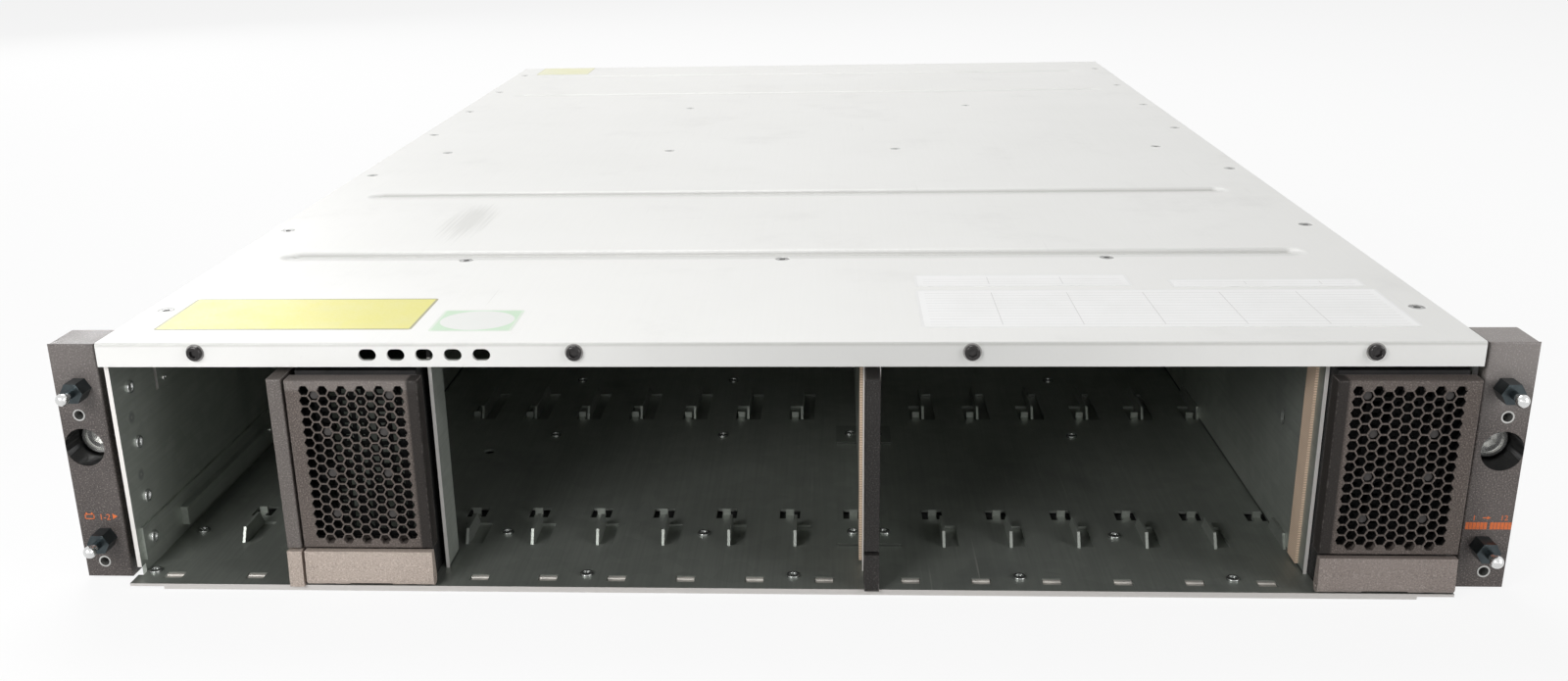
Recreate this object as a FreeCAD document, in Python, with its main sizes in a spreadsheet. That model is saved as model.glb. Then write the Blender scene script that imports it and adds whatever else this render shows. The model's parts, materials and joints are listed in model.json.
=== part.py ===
import FreeCAD, Part
import math
import os
import re
import Sketcher

Vector = FreeCAD.Vector
Rotation = FreeCAD.Rotation

# Driving dimensions in millimetres. X runs to the right, Y to the rear, Z up.
# Y is zero at the rack's mounting plane, Z at the underside of the chassis.
SIZES = {
    # Fits and small clearances
    "slip": 0.3,
    "rivet_fit": 0.1,
    "screw_fit": 0.15,
    "bearing_fit": 0.1,
    # Shell
    "body_width": 446.8,
    "body_height": 87.8,
    "cover_sheet": 1.2,
    "cover_rear": 690.0,
    "cover_bend": 0.9,
    "lip_front": 18.7,
    "lip_height": 8.2,
    "cover_overhang": 0.5,
    "wall_sheet": 1.5,
    "wall_front": 16.0,
    "wall_notch_depth": 3.0,
    "wall_notch_height": 4.8,
    "wall_slot_start": 14.2,
    "wall_slot_width": 1.4,
    "wall_slot_low": 60.0,
    "wall_slot_high": 72.0,
    "flange_width": 14.0,
    "rear_inset": 4.0,
    "floor_sheet": 1.0,
    "floor_front": 22.8,
    "hem_inset": 11.9,
    "hem_depth": 30.0,
    "rail_sheet": 1.5,
    "rail_depth": 116.0,
    "rail_drop": 6.6,
    # Pressed beads across the cover
    "bead_inset": 25.4,
    "bead_width": 6.0,
    "bead_depth": 0.6,
    "bead_first": 94.5,
    "bead_second": 209.5,
    "bead_third": 540.0,
    "bead_fourth": 637.0,
    # Oblong slots in the lip
    "lip_slot_first": 132.3,
    "lip_slot_pitch": 9.45,
    "lip_slot_length": 5.9,
    "lip_slot_height": 4.0,
    "lip_slot_drop": 4.1,
    # Screws
    "screw_radius": 1.45,
    "head_radius": 2.6,
    "head_height": 1.7,
    "socket_radius": 1.2,
    "socket_depth": 1.0,
    "countersink_radius": 2.8,
    "lip_screw_inner": 64.0,
    "lip_screw_inset": 33.7,
    "lip_screw_drop": 3.3,
    "edge_screw_inset": 7.3,
    "edge_screw_first": 19.5,
    "edge_screw_pitch": 120.7,
    "rear_screw_first": 470.0,
    "rear_screw_pitch": 88.5,
    "rail_screw_row": 87.5,
    "rail_screw_pitch": 125.0,
    "bulkhead_screw_inset": 28.4,
    "bulkhead_screw_inner": 61.6,
    "bulkhead_screw_shift": 8.0,
    "strap_screw_left": 72.4,
    # Rivets
    "rivet_shank": 1.5,
    "rivet_head": 2.3,
    "rivet_height": 0.8,
    "rivet_front_row": 13.3,
    "rivet_near_row": 19.4,
    "rivet_middle_row": 116.5,
    "rivet_far_row": 187.0,
    "rivet_outer_offset": 12.75,
    "rivet_inner_offset": 14.0,
    "foot_rivet": 5.6,
    "corner_rivet_inset": 3.4,
    "wall_rivet_row": 4.5,
    "wall_rivet_low": 27.1,
    "wall_rivet_pitch": 20.25,
    # Slot lattice on the floor
    "left_lattice_gap": 2.15,
    "right_lattice_gap": 1.2,
    "fin_gap": 26.5,
    "fin_sheet": 1.0,
    "fin_height": 5.0,
    "near_fin_front": 9.0,
    "near_fin_length": 20.0,
    "far_fin_front": 136.0,
    "far_fin_length": 34.0,
    "fin_relief": 1.5,
    "fin_lead": 3.5,
    "battery_fin_inset": 25.9,
    "window_offset": 10.6,
    "window_width": 6.5,
    "window_front": 18.3,
    "window_depth": 4.4,
    "battery_window_pitch": 29.0,
    "clip_offset": 2.5,
    "clip_width": 7.6,
    "clip_front": 33.0,
    "clip_depth": 8.2,
    "tab_width": 3.0,
    "tab_length": 4.0,
    "tab_height": 2.4,
    "oval_offset": 9.9,
    "oval_y": 98.0,
    # Rack ears
    "ear_gap": 1.9,
    "ear_width": 16.0,
    "ear_depth": 16.0,
    "ear_bottom": 1.0,
    "ear_top_gap": 1.2,
    "ear_round": 0.9,
    "ear_rim": 1.2,
    "bracket_sheet": 2.0,
    "bracket_leg": 1.5,
    "bracket_reach": 12.0,
    "bracket_length": 42.0,
    "bracket_margin": 6.0,
    "well_inset": 9.0,
    "well_level": 49.8,
    "well_radius": 6.8,
    "insert_inset": 8.9,
    "insert_level": 7.1,
    "insert_pitch": 54.5,
    "insert_radius": 2.1,
    "insert_bore": 1.6,
    "insert_length": 9.0,
    "insert_proud": 0.2,
    "stud_inset": 6.8,
    "stud_level": 16.4,
    "stud_pitch": 55.0,
    "stud_hex": 3.9,
    "stud_hex_length": 6.4,
    "stud_neck": 1.4,
    "stud_reach": 12.0,
    "ball_radius": 2.15,
    "stud_shank": 2.0,
    "stud_shank_length": 8.0,
    # Captive rack screws
    "rack_screw_radius": 2.9,
    "rack_neck_radius": 3.2,
    "rack_neck_end": 0.5,
    "rack_hole_radius": 3.5,
    "rack_screw_reach": 12.0,
    "rack_head_radius": 6.2,
    "rack_head_front": 6.0,
    "rack_head_length": 3.6,
    "rack_recess_radius": 3.4,
    "rack_recess_depth": 2.2,
    # Dividers, caps and posts of the front bays
    "divider_front": 9.0,
    "divider_sheet": 1.2,
    "divider_rear": 300.0,
    "divider_foot": 11.0,
    "battery_slot": 58.05,
    "filler_slot": 48.45,
    "post_depth": 13.0,
    "right_slot": 42.45,
    "divider_hole_y": 28.0,
    "divider_hole_level": 44.7,
    "divider_hole_width": 4.4,
    "divider_hole_height": 5.8,
    "channel_width": 5.8,
    "channel_sheet": 1.0,
    "foot_width": 23.0,
    "foot_length": 19.0,
    "foot_pitch": 97.1,
    "cap_width": 4.95,
    "cap_top_gap": 3.1,
    "cap_round": 0.5,
    "gasket_thick": 1.0,
    "gasket_width": 8.5,
    "gasket_setback": 3.0,
    "guide_sheet": 1.0,
    "guide_low": 6.2,
    "guide_high": 18.3,
    "guide_front": 13.0,
    "guide_length": 260.0,
    "ledge_front": 16.0,
    "ledge_width": 2.5,
    "ledge_height": 7.0,
    # Filler modules and their latch flaps
    "left_filler_offset": 25.55,
    "right_filler_offset": 21.25,
    "bezel_width": 44.4,
    "bezel_front": 22.5,
    "bezel_bottom": 15.9,
    "bezel_top_gap": 3.6,
    "bezel_wall": 1.8,
    "bezel_round": 0.8,
    "grille_plate": 2.0,
    "hex_column_pitch": 3.15,
    "hex_row_pitch": 3.69,
    "hex_flats": 3.2,
    "grille_margin": 1.6,
    "grille_side": 4.5,
    "filler_width": 40.6,
    "filler_top_gap": 7.6,
    "filler_sheet": 1.0,
    "filler_rear": 6.0,
    "screen_sheet": 0.5,
    "screen_hole": 2.6,
    "screen_pitch": 4.0,
    "peg_radius": 1.35,
    "peg_sink": 0.9,
    "flap_front": 24.2,
    "flap_gap": 1.0,
    "flap_lean": 0.9,
    "flap_thick": 2.6,
    "flap_axis_y": 22.0,
    "flap_axis_z": 4.6,
    "flap_barrel": 2.2,
    "flap_margin": 0.2,
    "flap_notch": 15.0,
    "flap_notch_height": 1.0,
    "hinge_pin": 0.7,
    "lug_x": 14.0,
    "lug_width": 3.0,
    "lug_radius": 1.4,
    "claw_x": 8.0,
    "claw_width": 4.0,
    "claw_reach": 17.5,
    # Midplane
    "bulkhead_y": 330.0,
    "bulkhead_sheet": 1.5,
    "bulkhead_flange": 14.0,
    "board_gap": 2.5,
    "board_sheet": 3.0,
    "board_inset": 21.4,
    "board_low": 8.0,
    "board_top_gap": 5.1,
    "standoff_radius": 3.0,
    "standoff_inset": 15.0,
    "plug_width": 7.0,
    "plug_low": 18.0,
    "plug_top_gap": 14.0,
    "plug_depth": 12.0,
    "plug_clear": 1.5,
    "socket_depth_rear": 9.0,
    "socket_width_rear": 60.0,
    "socket_height_rear": 14.0,
    "rear_socket_margin": 25.0,
    "rear_socket_pitch": 145.0,
    # Rear bays
    "supply_bay": 109.9,
    "bay_sheet": 1.5,
    "bay_front": 352.0,
    "shelf_sheet": 1.2,
    "strap_y": 462.0,
    "strap_width": 24.0,
    "module_side_gap": 0.5,
    # Controller canisters
    "canister_front": 350.0,
    "tray_sheet": 1.0,
    "panel_sheet": 1.5,
    "card_sheet": 1.6,
    "card_level": 6.0,
    "card_margin": 8.0,
    "card_rear": 40.0,
    "card_post": 2.5,
    "heatsink_size": 70.0,
    "heatsink_height": 22.0,
    "fan_margin": 4.35,
    "fan_depth": 15.0,
    "fan_rim": 1.4,
    "fan_inset": 26.0,
    "fan_pitch": 40.0,
    "strut_width": 6.0,
    "strut_depth": 2.0,
    "fan_pin": 1.2,
    "hub_radius": 7.0,
    "blade_gap": 0.8,
    "blade_sheet": 1.2,
    "blade_chord": 9.0,
    "port_width": 19.0,
    "port_height": 11.0,
    "port_depth": 30.0,
    "port_wall": 0.8,
    "port_pitch": 26.0,
    "lever_inset": 12.0,
    "lever_length": 84.0,
    "lever_height": 12.0,
    "lever_thick": 4.0,
    "lever_gap": 1.0,
    "knuckle_radius": 4.0,
    "knuckle_pin": 1.5,
    "lug_height": 4.0,
    "vent_first": 12.0,
    "vent_pitch": 10.0,
    "vent_width": 7.0,
    "vent_height": 5.0,
    "vent_rise": 13.0,
    # Power supplies
    "supply_front": 430.0,
    "supply_sheet": 1.0,
    "supply_fan_inset": 28.0,
    "inlet_inset": 26.0,
    "inlet_width": 28.0,
    "inlet_height": 21.0,
    "inlet_depth": 18.0,
    "inlet_wall": 1.6,
    "inlet_sink": 6.0,
    "handle_width": 40.0,
    "handle_top_gap": 3.35,
    "handle_thick": 3.0,
    "handle_gap": 1.0,
    "handle_axis_level": 4.0,
    "handle_pin": 0.8,
}

doc = FreeCAD.newDocument("storage_enclosure")
sheet = doc.addObject("Spreadsheet::Sheet", "dims")
for row, (alias, number) in enumerate(SIZES.items(), start=1):
    sheet.set(f"A{row}", alias)
    sheet.set(f"B{row}", str(number))
    sheet.setAlias(f"B{row}", alias)
doc.recompute()

words = re.compile(r"\b(" + "|".join(sorted(SIZES, key=len, reverse=True)) + r")\b")
turns = {
    "x": Rotation(Vector(0, 1, 0), 90),
    "y": Rotation(Vector(1, 0, 0), -90),
    "z": Rotation(),
}
nodes = []

# Planes that several pieces share
ear_inner = "(body_width / 2 + ear_gap)"
half_span = "(body_width / 2 + ear_gap + ear_width)"
wall_out = "(body_width / 2 - cover_overhang)"
wall_in = "(body_width / 2 - cover_overhang - wall_sheet)"
cover_under = "(body_height - cover_sheet)"
flange_under = "(body_height - cover_sheet - wall_sheet)"
rail_under = "(body_height - cover_sheet - rail_sheet)"
rail_half = f"({wall_in} - flange_width - slip)"
lip_bottom = "(body_height - lip_height)"
lip_back = "(cover_sheet - lip_front)"
rail_back = "(cover_sheet - lip_front + rail_sheet)"
floor_top = "(2 * floor_sheet)"
shell_rear = "(cover_rear - rear_inset)"
board_front = "(bulkhead_y + bulkhead_sheet + board_gap)"
board_back = "(bulkhead_y + bulkhead_sheet + board_gap + board_sheet)"
left_lattice = "(centre_x - fin_gap - 5 * slot_pitch)"
right_lattice = "(centre_x + fin_gap - slot_pitch)"
filler_front = "(wall_front + slip)"
shelf_low = f"(({floor_top} + {flange_under} - shelf_sheet) / 2)"
shelf_top = f"({shelf_low} + shelf_sheet)"
module_height = f"({shelf_low} - {floor_top} - 2 * slip)"
module_lows = [f"({floor_top} + slip)", f"({shelf_top} + slip)"]

# Places and sizes that follow from the planes, each from those above it
derived = {
    "hem_half": f"({wall_out} - hem_inset)",
    "bead_half": "(body_width / 2 - bead_inset)",
    "lip_slot_level": "(body_height - lip_slot_drop)",
    "lip_screw_outer": "(body_width / 2 - lip_screw_inset)",
    "lip_screw_level": "(body_height - lip_screw_drop)",
    "bulkhead_screw_outer": f"({wall_in} - bulkhead_screw_inset)",
    "ear_top": "(body_height - ear_top_gap)",
    "well_x": f"({ear_inner} + well_inset)",
    "insert_x": f"({ear_inner} + insert_inset)",
    "stud_x": f"({ear_inner} + stud_inset)",
    "battery_fin_x": f"({wall_in} - battery_fin_inset)",
    "battery_divider_x": f"({wall_in} - battery_slot)",
    "left_filler_x": "(battery_divider_x - left_filler_offset)",
    "post_x": "(battery_divider_x - filler_slot)",
    "oval_x": "(post_x + oval_offset)",
    "right_divider_x": f"({wall_in} - right_slot)",
    "right_filler_x": "(right_divider_x + right_filler_offset)",
    "banks_width": "(post_x + right_divider_x - left_lattice_gap - right_lattice_gap)",
    "slot_pitch": "((banks_width - 2 * fin_gap) / 10)",
    "centre_x": "(left_lattice_gap - post_x + 5 * slot_pitch + fin_gap)",
    "cap_top": f"({lip_bottom} - cap_top_gap)",
    "bezel_top": f"({lip_bottom} - bezel_top_gap)",
    "hex_centre_level": "((bezel_bottom + bezel_top) / 2)",
    "filler_top": f"({rail_under} - filler_top_gap)",
    "flap_top": "(bezel_bottom - flap_gap)",
    "board_half": f"({wall_in} - board_inset)",
    "board_high": f"({flange_under} - board_top_gap)",
    "standoff_x": "(board_half - standoff_inset)",
    "plug_high": "(board_high - plug_top_gap)",
    "rear_socket_first": "(board_half - rear_socket_margin - socket_width_rear / 2)",
    "bay_wall_x": f"({wall_in} - supply_bay)",
    "fan_size": f"({module_height} - fan_margin)",
    "fan_bore": "(fan_size / 2 - fan_rim)",
    "blade_radius": "(fan_bore - blade_gap)",
    "handle_rise": f"({module_height} - handle_axis_level - handle_top_gap)",
}
followers = re.compile(r"\b(" + "|".join(derived) + r")\b")


def size(alias):
    return float(sheet.get(alias))


def worked_out(text):
    # Every derived name replaced by the sizes that it comes from
    return followers.sub(lambda found: derived[found.group()], text)


for name in derived:
    derived[name] = worked_out(derived[name])


def bind(item, prop, text):
    item.setExpression(prop, words.sub(r"dims.\1", worked_out(text)))


def both(half):
    return f"-({half})", half


def around(middle, width):
    return f"{middle} - ({width}) / 2", f"{middle} + ({width}) / 2"


def span(side, near, far):
    if side > 0:
        return near, far
    return f"-({far})", f"-({near})"


def place(item, point):
    for axis, text in zip("xyz", point):
        bind(item, f"Placement.Base.{axis}", text)
    return item


def box(x, y, z):
    item = doc.addObject("Part::Box", "block")
    for side, (low, high) in zip(("Length", "Width", "Height"), (x, y, z)):
        bind(item, side, f"({high}) - ({low})")
    return place(item, (x[0], y[0], z[0]))


def fin(x, y, z, lead):
    # An upright sheet fin, its top edge shorter than its foot by a lead at each end
    item = doc.addObject("Part::Wedge", "fin")
    for prop, text in (("Xmin", x[0]), ("X2min", x[0]), ("Xmax", x[1]), ("X2max", x[1])):
        bind(item, prop, text)
    bind(item, "Ymin", z[0])
    bind(item, "Ymax", z[1])
    bind(item, "Zmin", f"-({y[1]})")
    bind(item, "Zmax", f"-({y[0]})")
    bind(item, "Z2min", f"-({y[1]} - {lead})")
    bind(item, "Z2max", f"-({y[0]} + {lead})")
    item.Placement.Rotation = Rotation(Vector(1, 0, 0), 90)
    return item


def rod(axis, middle, start, end, radius):
    item = doc.addObject("Part::Cylinder", "rod")
    bind(item, "Radius", radius)
    bind(item, "Height", f"({end}) - ({start})")
    item.Placement.Rotation = turns[axis]
    point = list(middle)
    point.insert("xyz".index(axis), start)
    return place(item, point)


def cone(point, low_radius, high_radius, height):
    item = doc.addObject("Part::Cone", "cone")
    bind(item, "Radius1", low_radius)
    bind(item, "Radius2", high_radius)
    bind(item, "Height", height)
    return place(item, point)


def ball(point, radius):
    item = doc.addObject("Part::Sphere", "ball")
    bind(item, "Radius", radius)
    return place(item, point)


def hexagon(middle, start, end, radius):
    item = doc.addObject("Part::Prism", "hexagon")
    item.Polygon = 6
    bind(item, "Circumradius", radius)
    bind(item, "Height", f"({end}) - ({start})")
    item.Placement.Rotation = turns["y"]
    return place(item, (middle[0], start, middle[1]))


def group(items):
    item = doc.addObject("Part::Compound", "group")
    item.Links = list(items)
    return item


def fuse(*items):
    item = doc.addObject("Part::MultiFuse", "joined")
    item.Shapes = list(items)
    item.Refine = True
    return item


def cut(base, tools):
    item = doc.addObject("Part::Cut", "trimmed")
    item.Base = base
    item.Tool = tools[0] if len(tools) == 1 else group(tools)
    return item


def rounded(base, radius, chosen):
    doc.recompute()
    item = doc.addObject("Part::Fillet", "rounded")
    item.Base = base
    edges = [k for k, edge in enumerate(base.Shape.Edges, start=1) if chosen(edge.BoundBox)]
    item.Edges = [(k, radius, radius) for k in edges]
    return item


def outline(name, plane, corners, start, end):
    # A closed outline of straight runs on one of the body's own planes, made solid
    body = doc.addObject("PartDesign::Body", name)
    sketch = body.newObject("Sketcher::SketchObject", name + "_outline")
    origin = next(item for item in body.Origin.OriginFeatures if item.Role == plane)
    sketch.AttachmentSupport = [(origin, "")]
    sketch.MapMode = "FlatFace"
    bind(sketch, "AttachmentOffset.Base.z", start)
    count = len(corners)
    steps = [2 * math.pi * k / count for k in range(count)]
    ring = [Vector(math.cos(step), math.sin(step)) for step in steps]
    sketch.addGeometry([Part.LineSegment(ring[k], ring[(k + 1) % count]) for k in range(count)])
    joins = [Sketcher.Constraint("Coincident", k, 2, (k + 1) % count, 1) for k in range(count)]
    sketch.addConstraint(joins)
    for k, corner in enumerate(corners):
        for kind, text in zip(("DistanceX", "DistanceY"), corner):
            index = sketch.addConstraint(Sketcher.Constraint(kind, -1, 1, k, 1, 1.0))
            bind(sketch, f"Constraints[{index}]", text)
    pad = body.newObject("PartDesign::Pad", name + "_pad")
    pad.Profile = sketch
    bind(pad, "Length", f"({end}) - ({start})")
    return body


def node(name, item):
    item.Label = name
    nodes.append(item)
    return item


def front_edges(bounds, front):
    return abs(bounds.YMin + front) < 0.01 and abs(bounds.YMax + front) < 0.01


# Places of the fasteners
def rail_screw_places():
    return [(f"{k} * rail_screw_pitch", "rail_screw_row") for k in (-1, 0, 1)]


def bulkhead_screw_places():
    row = "bulkhead_y - bulkhead_flange / 2"
    inner = [f"{side} * bulkhead_screw_inner - bulkhead_screw_shift" for side in (-1, 1)]
    outer = [f"{side} * bulkhead_screw_outer" for side in (-1, 1)]
    return [(x, row) for x in inner + outer]


def strap_screw_places():
    row = "strap_y + strap_width / 2"
    return [("-strap_screw_left", row), ("bay_wall_x - flange_width / 2", row)]


def edge_screw_places(side):
    x = f"{side} * (body_width / 2 - edge_screw_inset)"
    front = [(x, f"edge_screw_first + {k} * edge_screw_pitch") for k in range(4)]
    rear = [(x, f"rear_screw_first + {k} * rear_screw_pitch") for k in range(3)]
    return front + rear


def lip_screw_places():
    return [f"{side} * {x}" for side in (-1, 1) for x in ("lip_screw_inner", "lip_screw_outer")]


def floor_rivet_places():
    columns = [f"{left_lattice} + rivet_outer_offset"]
    columns += [f"{start} + 3 * slot_pitch + rivet_inner_offset" for start in (left_lattice, right_lattice)]
    rows = ["rivet_near_row", "rivet_middle_row", "rivet_far_row"]
    grid = [(x, y) for x in columns for y in rows]
    front = [f"{left_lattice} + 2 * slot_pitch", f"{left_lattice} + 5 * slot_pitch"]
    front += [f"{right_lattice} + 2 * slot_pitch", f"{right_lattice} + 5 * slot_pitch"]
    edge = [(f"-({wall_in} - flange_width / 2)", "rivet_near_row")]
    edge += [(f"{wall_in} - flange_width / 2", "rivet_middle_row")]
    edge += [(f"corner_rivet_inset - {wall_in}", "-rivet_front_row")]
    return grid + edge, [(x, "-rivet_front_row") for x in front]


def foot_starts():
    return [f"rivet_near_row - foot_length / 2 + {k} * foot_pitch" for k in range(3)]


def wall_rivet_levels():
    return [f"wall_rivet_low + {k} * wall_rivet_pitch" for k in range(3)]


def screw_holes(places, low, high):
    return [rod("z", place_xy, low, high, "screw_radius + screw_fit") for place_xy in places]


# Floor pan with folded hem, lanced fins, clip windows and latch windows
def lattice_fins():
    near = [f"{left_lattice} + {k} * slot_pitch" for k in range(6)]
    near += [f"{right_lattice} + {k} * slot_pitch" for k in range(1, 7)]
    far = [f"{left_lattice} - slot_pitch"] + near
    return near + ["-battery_fin_x"], far


def window_middles():
    bays = [f"{start} + {k} * slot_pitch + window_offset" for start in (left_lattice, right_lattice)
            for k in range(6)]
    lanes = ["left_filler_x", "battery_fin_x"]
    pairs = [f"-{lane} + {side} * battery_window_pitch / 2" for lane in lanes for side in (-1, 1)]
    return bays + pairs


def clip_middles():
    left = [f"{left_lattice} + {k} * slot_pitch - clip_offset" for k in range(7)]
    right = [f"{right_lattice} + {k} * slot_pitch - clip_offset" for k in range(1, 7)]
    return left + right + ["-battery_fin_x - clip_offset"]


def floor_tab(middle, start):
    base = box(around(middle, "tab_width"), (start, f"{start} + tab_length"), ("floor_sheet", floor_top))
    rise = box(around(middle, "tab_width"), (f"{start} + tab_length - floor_sheet", f"{start} + tab_length"),
               ("floor_sheet", f"{floor_top} + tab_height"))
    return [base, rise]


def make_floor():
    depth = ("floor_sheet", floor_top)
    main = box(both(f"({wall_in} - slip)"), ("-floor_front", shell_rear), depth)
    strip = box(both(wall_out), ("-floor_front", "-wall_front - slip"), depth)
    hem = box(both("hem_half"), ("-floor_front", "hem_depth - floor_front"), ("0", "floor_sheet"))
    pan = fuse(main, strip, hem)
    through = ("floor_sheet", f"{floor_top} + slip")
    near, far = lattice_fins()
    tools = [box(around(x, "window_width"), ("-window_front", "window_depth - window_front"), through)
             for x in window_middles()]
    tools += [box(around(x, "clip_width"), ("clip_front", "clip_front + clip_depth"), through)
              for x in clip_middles()]
    fins = []
    tabs = []
    for x in clip_middles():
        tabs += floor_tab(x, "clip_front")
    for x in near:
        rear = "near_fin_front + near_fin_length"
        opening = (f"{x} + fin_sheet / 2", f"{x} + fin_sheet / 2 + fin_height")
        tools.append(box(opening, ("near_fin_front + fin_relief", f"{rear} - fin_relief"), through))
        fins.append(fin(around(x, "fin_sheet"), ("near_fin_front", rear),
                        ("floor_sheet", f"{floor_top} + fin_height"), "fin_lead"))
    for x in far:
        rear = "far_fin_front + far_fin_length"
        right = (f"{x} + fin_sheet / 2", f"{x} + fin_sheet / 2 + fin_height")
        left = (f"{x} - fin_sheet / 2 - fin_height", f"{x} - fin_sheet / 2")
        tools.append(box(right, ("far_fin_front", f"{rear} - fin_relief"), through))
        tools.append(box(left, ("far_fin_front", "far_fin_front + far_fin_length / 2"), through))
        fins.append(fin(around(x, "fin_sheet"), ("far_fin_front", rear),
                        ("floor_sheet", f"{floor_top} + fin_height"), "fin_lead"))
        tabs += floor_tab(f"{x} - fin_sheet / 2 - fin_height / 2", "far_fin_front")
    grid, front = floor_rivet_places()
    hole = "rivet_shank + rivet_fit"
    tools += [rod("z", spot, "floor_sheet", f"{floor_top} + slip", hole) for spot in grid]
    tools += [rod("z", spot, "-slip", f"{floor_top} + slip", hole) for spot in front]
    tools += [rod("z", spot, "floor_sheet", f"{floor_top} + slip", hole) for spot in foot_rivet_places()]
    tools.append(rod("z", ("-oval_x", "oval_y"), "floor_sheet - slip", f"{floor_top} + slip", "rivet_head"))
    node("floor_pan", fuse(cut(pan, tools), *fins, *tabs))


def foot_rivet_places():
    rows = [f"{start} + foot_length / 2" for start in foot_starts()]
    return [(f"centre_x + {side} * foot_rivet", y) for y in rows for side in (-1, 1)]


# Side walls
def make_wall(name, side):
    plate = box(span(side, wall_in, wall_out), ("-wall_front", shell_rear), ("0", cover_under))
    inner = span(side, f"{wall_in} - flange_width", wall_in)
    top = box(inner, ("wall_notch_depth - wall_front", shell_rear), (flange_under, cover_under))
    low = box(inner, ("hem_depth - floor_front + slip", shell_rear), ("0", "floor_sheet"))
    across = span(side, f"{wall_in} - slip", f"{wall_out} + slip")
    corner = ("-wall_front - slip", "wall_notch_depth - wall_front")
    tools = [box(across, corner, ("-slip", "wall_notch_height"))]
    tools.append(box(across, ("wall_slot_start", "wall_slot_start + wall_slot_width"),
                     ("wall_slot_low", "wall_slot_high")))
    for level in wall_rivet_levels():
        start, end = across
        tools.append(rod("x", ("-wall_rivet_row", level), start, end, "rivet_shank + rivet_fit"))
    tools += screw_holes(edge_screw_places(side), f"{flange_under} - slip", f"{cover_under} + slip")
    start, end = across
    if side < 0:
        tools.append(rod("x", guide_rivet_place(), start, end, "rivet_shank + rivet_fit"))
    node(name, cut(fuse(plate, top, low), tools))


# Top cover with front lip, beads, slots and countersunk holes
def bead_tool(row):
    radius = "((bead_width * bead_width / 4 + bead_depth * bead_depth) / (2 * bead_depth))"
    level = f"body_height - bead_depth + {radius}"
    reach = "bead_half - bead_width / 2"
    run = rod("x", (row, level), f"-({reach})", reach, radius)
    ends = [ball((f"{side} * ({reach})", row, level), radius) for side in (-1, 1)]
    return [run] + ends


def lip_slot_tool(k):
    middle = f"{k} * lip_slot_pitch - lip_slot_first"
    flat = "(lip_slot_length - lip_slot_height)"
    front = "-lip_front - slip"
    rear = f"{lip_back} + slip"
    run = box(around(middle, flat), (front, rear), around("lip_slot_level", "lip_slot_height"))
    ends = [rod("y", (f"{middle} + {side} * {flat} / 2", "lip_slot_level"), front, rear,
                "lip_slot_height / 2") for side in (-1, 1)]
    return fuse(run, *ends)


def all_top_screws():
    edges = edge_screw_places(-1) + edge_screw_places(1)
    return edges + rail_screw_places() + bulkhead_screw_places() + strap_screw_places()


def make_cover():
    corners = [
        ("-lip_front", "body_height"),
        ("cover_rear", "body_height"),
        ("cover_rear", flange_under),
        ("cover_rear - cover_sheet", flange_under),
        ("cover_rear - cover_sheet", cover_under),
        (lip_back, cover_under),
        (lip_back, lip_bottom),
        ("-lip_front", lip_bottom),
    ]
    plate = outline("cover_plate", "YZ_Plane", corners, "-body_width / 2", "body_width / 2")
    front = size("lip_front")
    rear = size("cover_rear")
    top = size("body_height")

    def bend(bounds):
        long = bounds.XLength > size("body_width") / 2
        at_top = bounds.ZMin > top - 0.01
        at_end = abs(bounds.YMin + front) < 0.01 or abs(bounds.YMax - rear) < 0.01
        return long and at_top and at_end

    bent = rounded(plate, size("cover_bend"), bend)
    tools = []
    for row in ("bead_first", "bead_second", "bead_third", "bead_fourth"):
        tools += bead_tool(row)
    tools += [lip_slot_tool(k) for k in range(5)]
    for x in lip_screw_places():
        tools.append(rod("y", (x, "lip_screw_level"), "-lip_front - slip", f"{lip_back} + slip",
                         "screw_radius + screw_fit"))
    for x, y in all_top_screws():
        tools.append(cone((x, y, cover_under), "screw_radius + screw_fit", "countersink_radius + screw_fit",
                          "cover_sheet"))
    node("top_cover", cut(bent, tools))


def make_front_rail():
    leg = box(both(rail_half), (lip_back, rail_back), (f"{cover_under} - rail_drop", cover_under))
    pan = box(both(rail_half), (rail_back, f"{rail_back} + rail_depth"), (rail_under, cover_under))
    first = "-lip_slot_first - lip_slot_length"
    last = "4 * lip_slot_pitch - lip_slot_first + lip_slot_length"
    vent = box((first, last), (f"{lip_back} - slip", f"{rail_back} + slip"),
               around("lip_slot_level", "lip_slot_height + slip"))
    tools = [vent]
    for x in lip_screw_places():
        tools.append(rod("y", (x, "lip_screw_level"), f"{lip_back} - slip", f"{rail_back} + slip",
                         "screw_radius + screw_fit"))
    tools += screw_holes(rail_screw_places(), f"{rail_under} - slip", f"{cover_under} + slip")
    node("top_front_rail", cut(fuse(leg, pan), tools))


# Screws and rivets
def make_screws():
    lip = []
    for x in lip_screw_places():
        head = rod("y", (x, "lip_screw_level"), "-lip_front - head_height", "-lip_front", "head_radius")
        shank = rod("y", (x, "lip_screw_level"), "-lip_front", rail_back, "screw_radius")
        socket = hexagon((x, "lip_screw_level"), "-lip_front - head_height - slip",
                         "socket_depth - lip_front - head_height", "socket_radius")
        lip.append(cut(fuse(head, shank), [socket]))
    node("front_cover_screws", group(lip))
    top = []
    for x, y in all_top_screws():
        head = cone((x, y, cover_under), "screw_radius", "countersink_radius - screw_fit",
                    "cover_sheet - screw_fit")
        shank = rod("z", (x, y), flange_under, cover_under, "screw_radius")
        socket = rod("z", (x, y), "body_height - cover_sheet / 2", "body_height", "socket_radius")
        top.append(cut(fuse(head, shank), [socket]))
    node("top_cover_screws", group(top))


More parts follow.
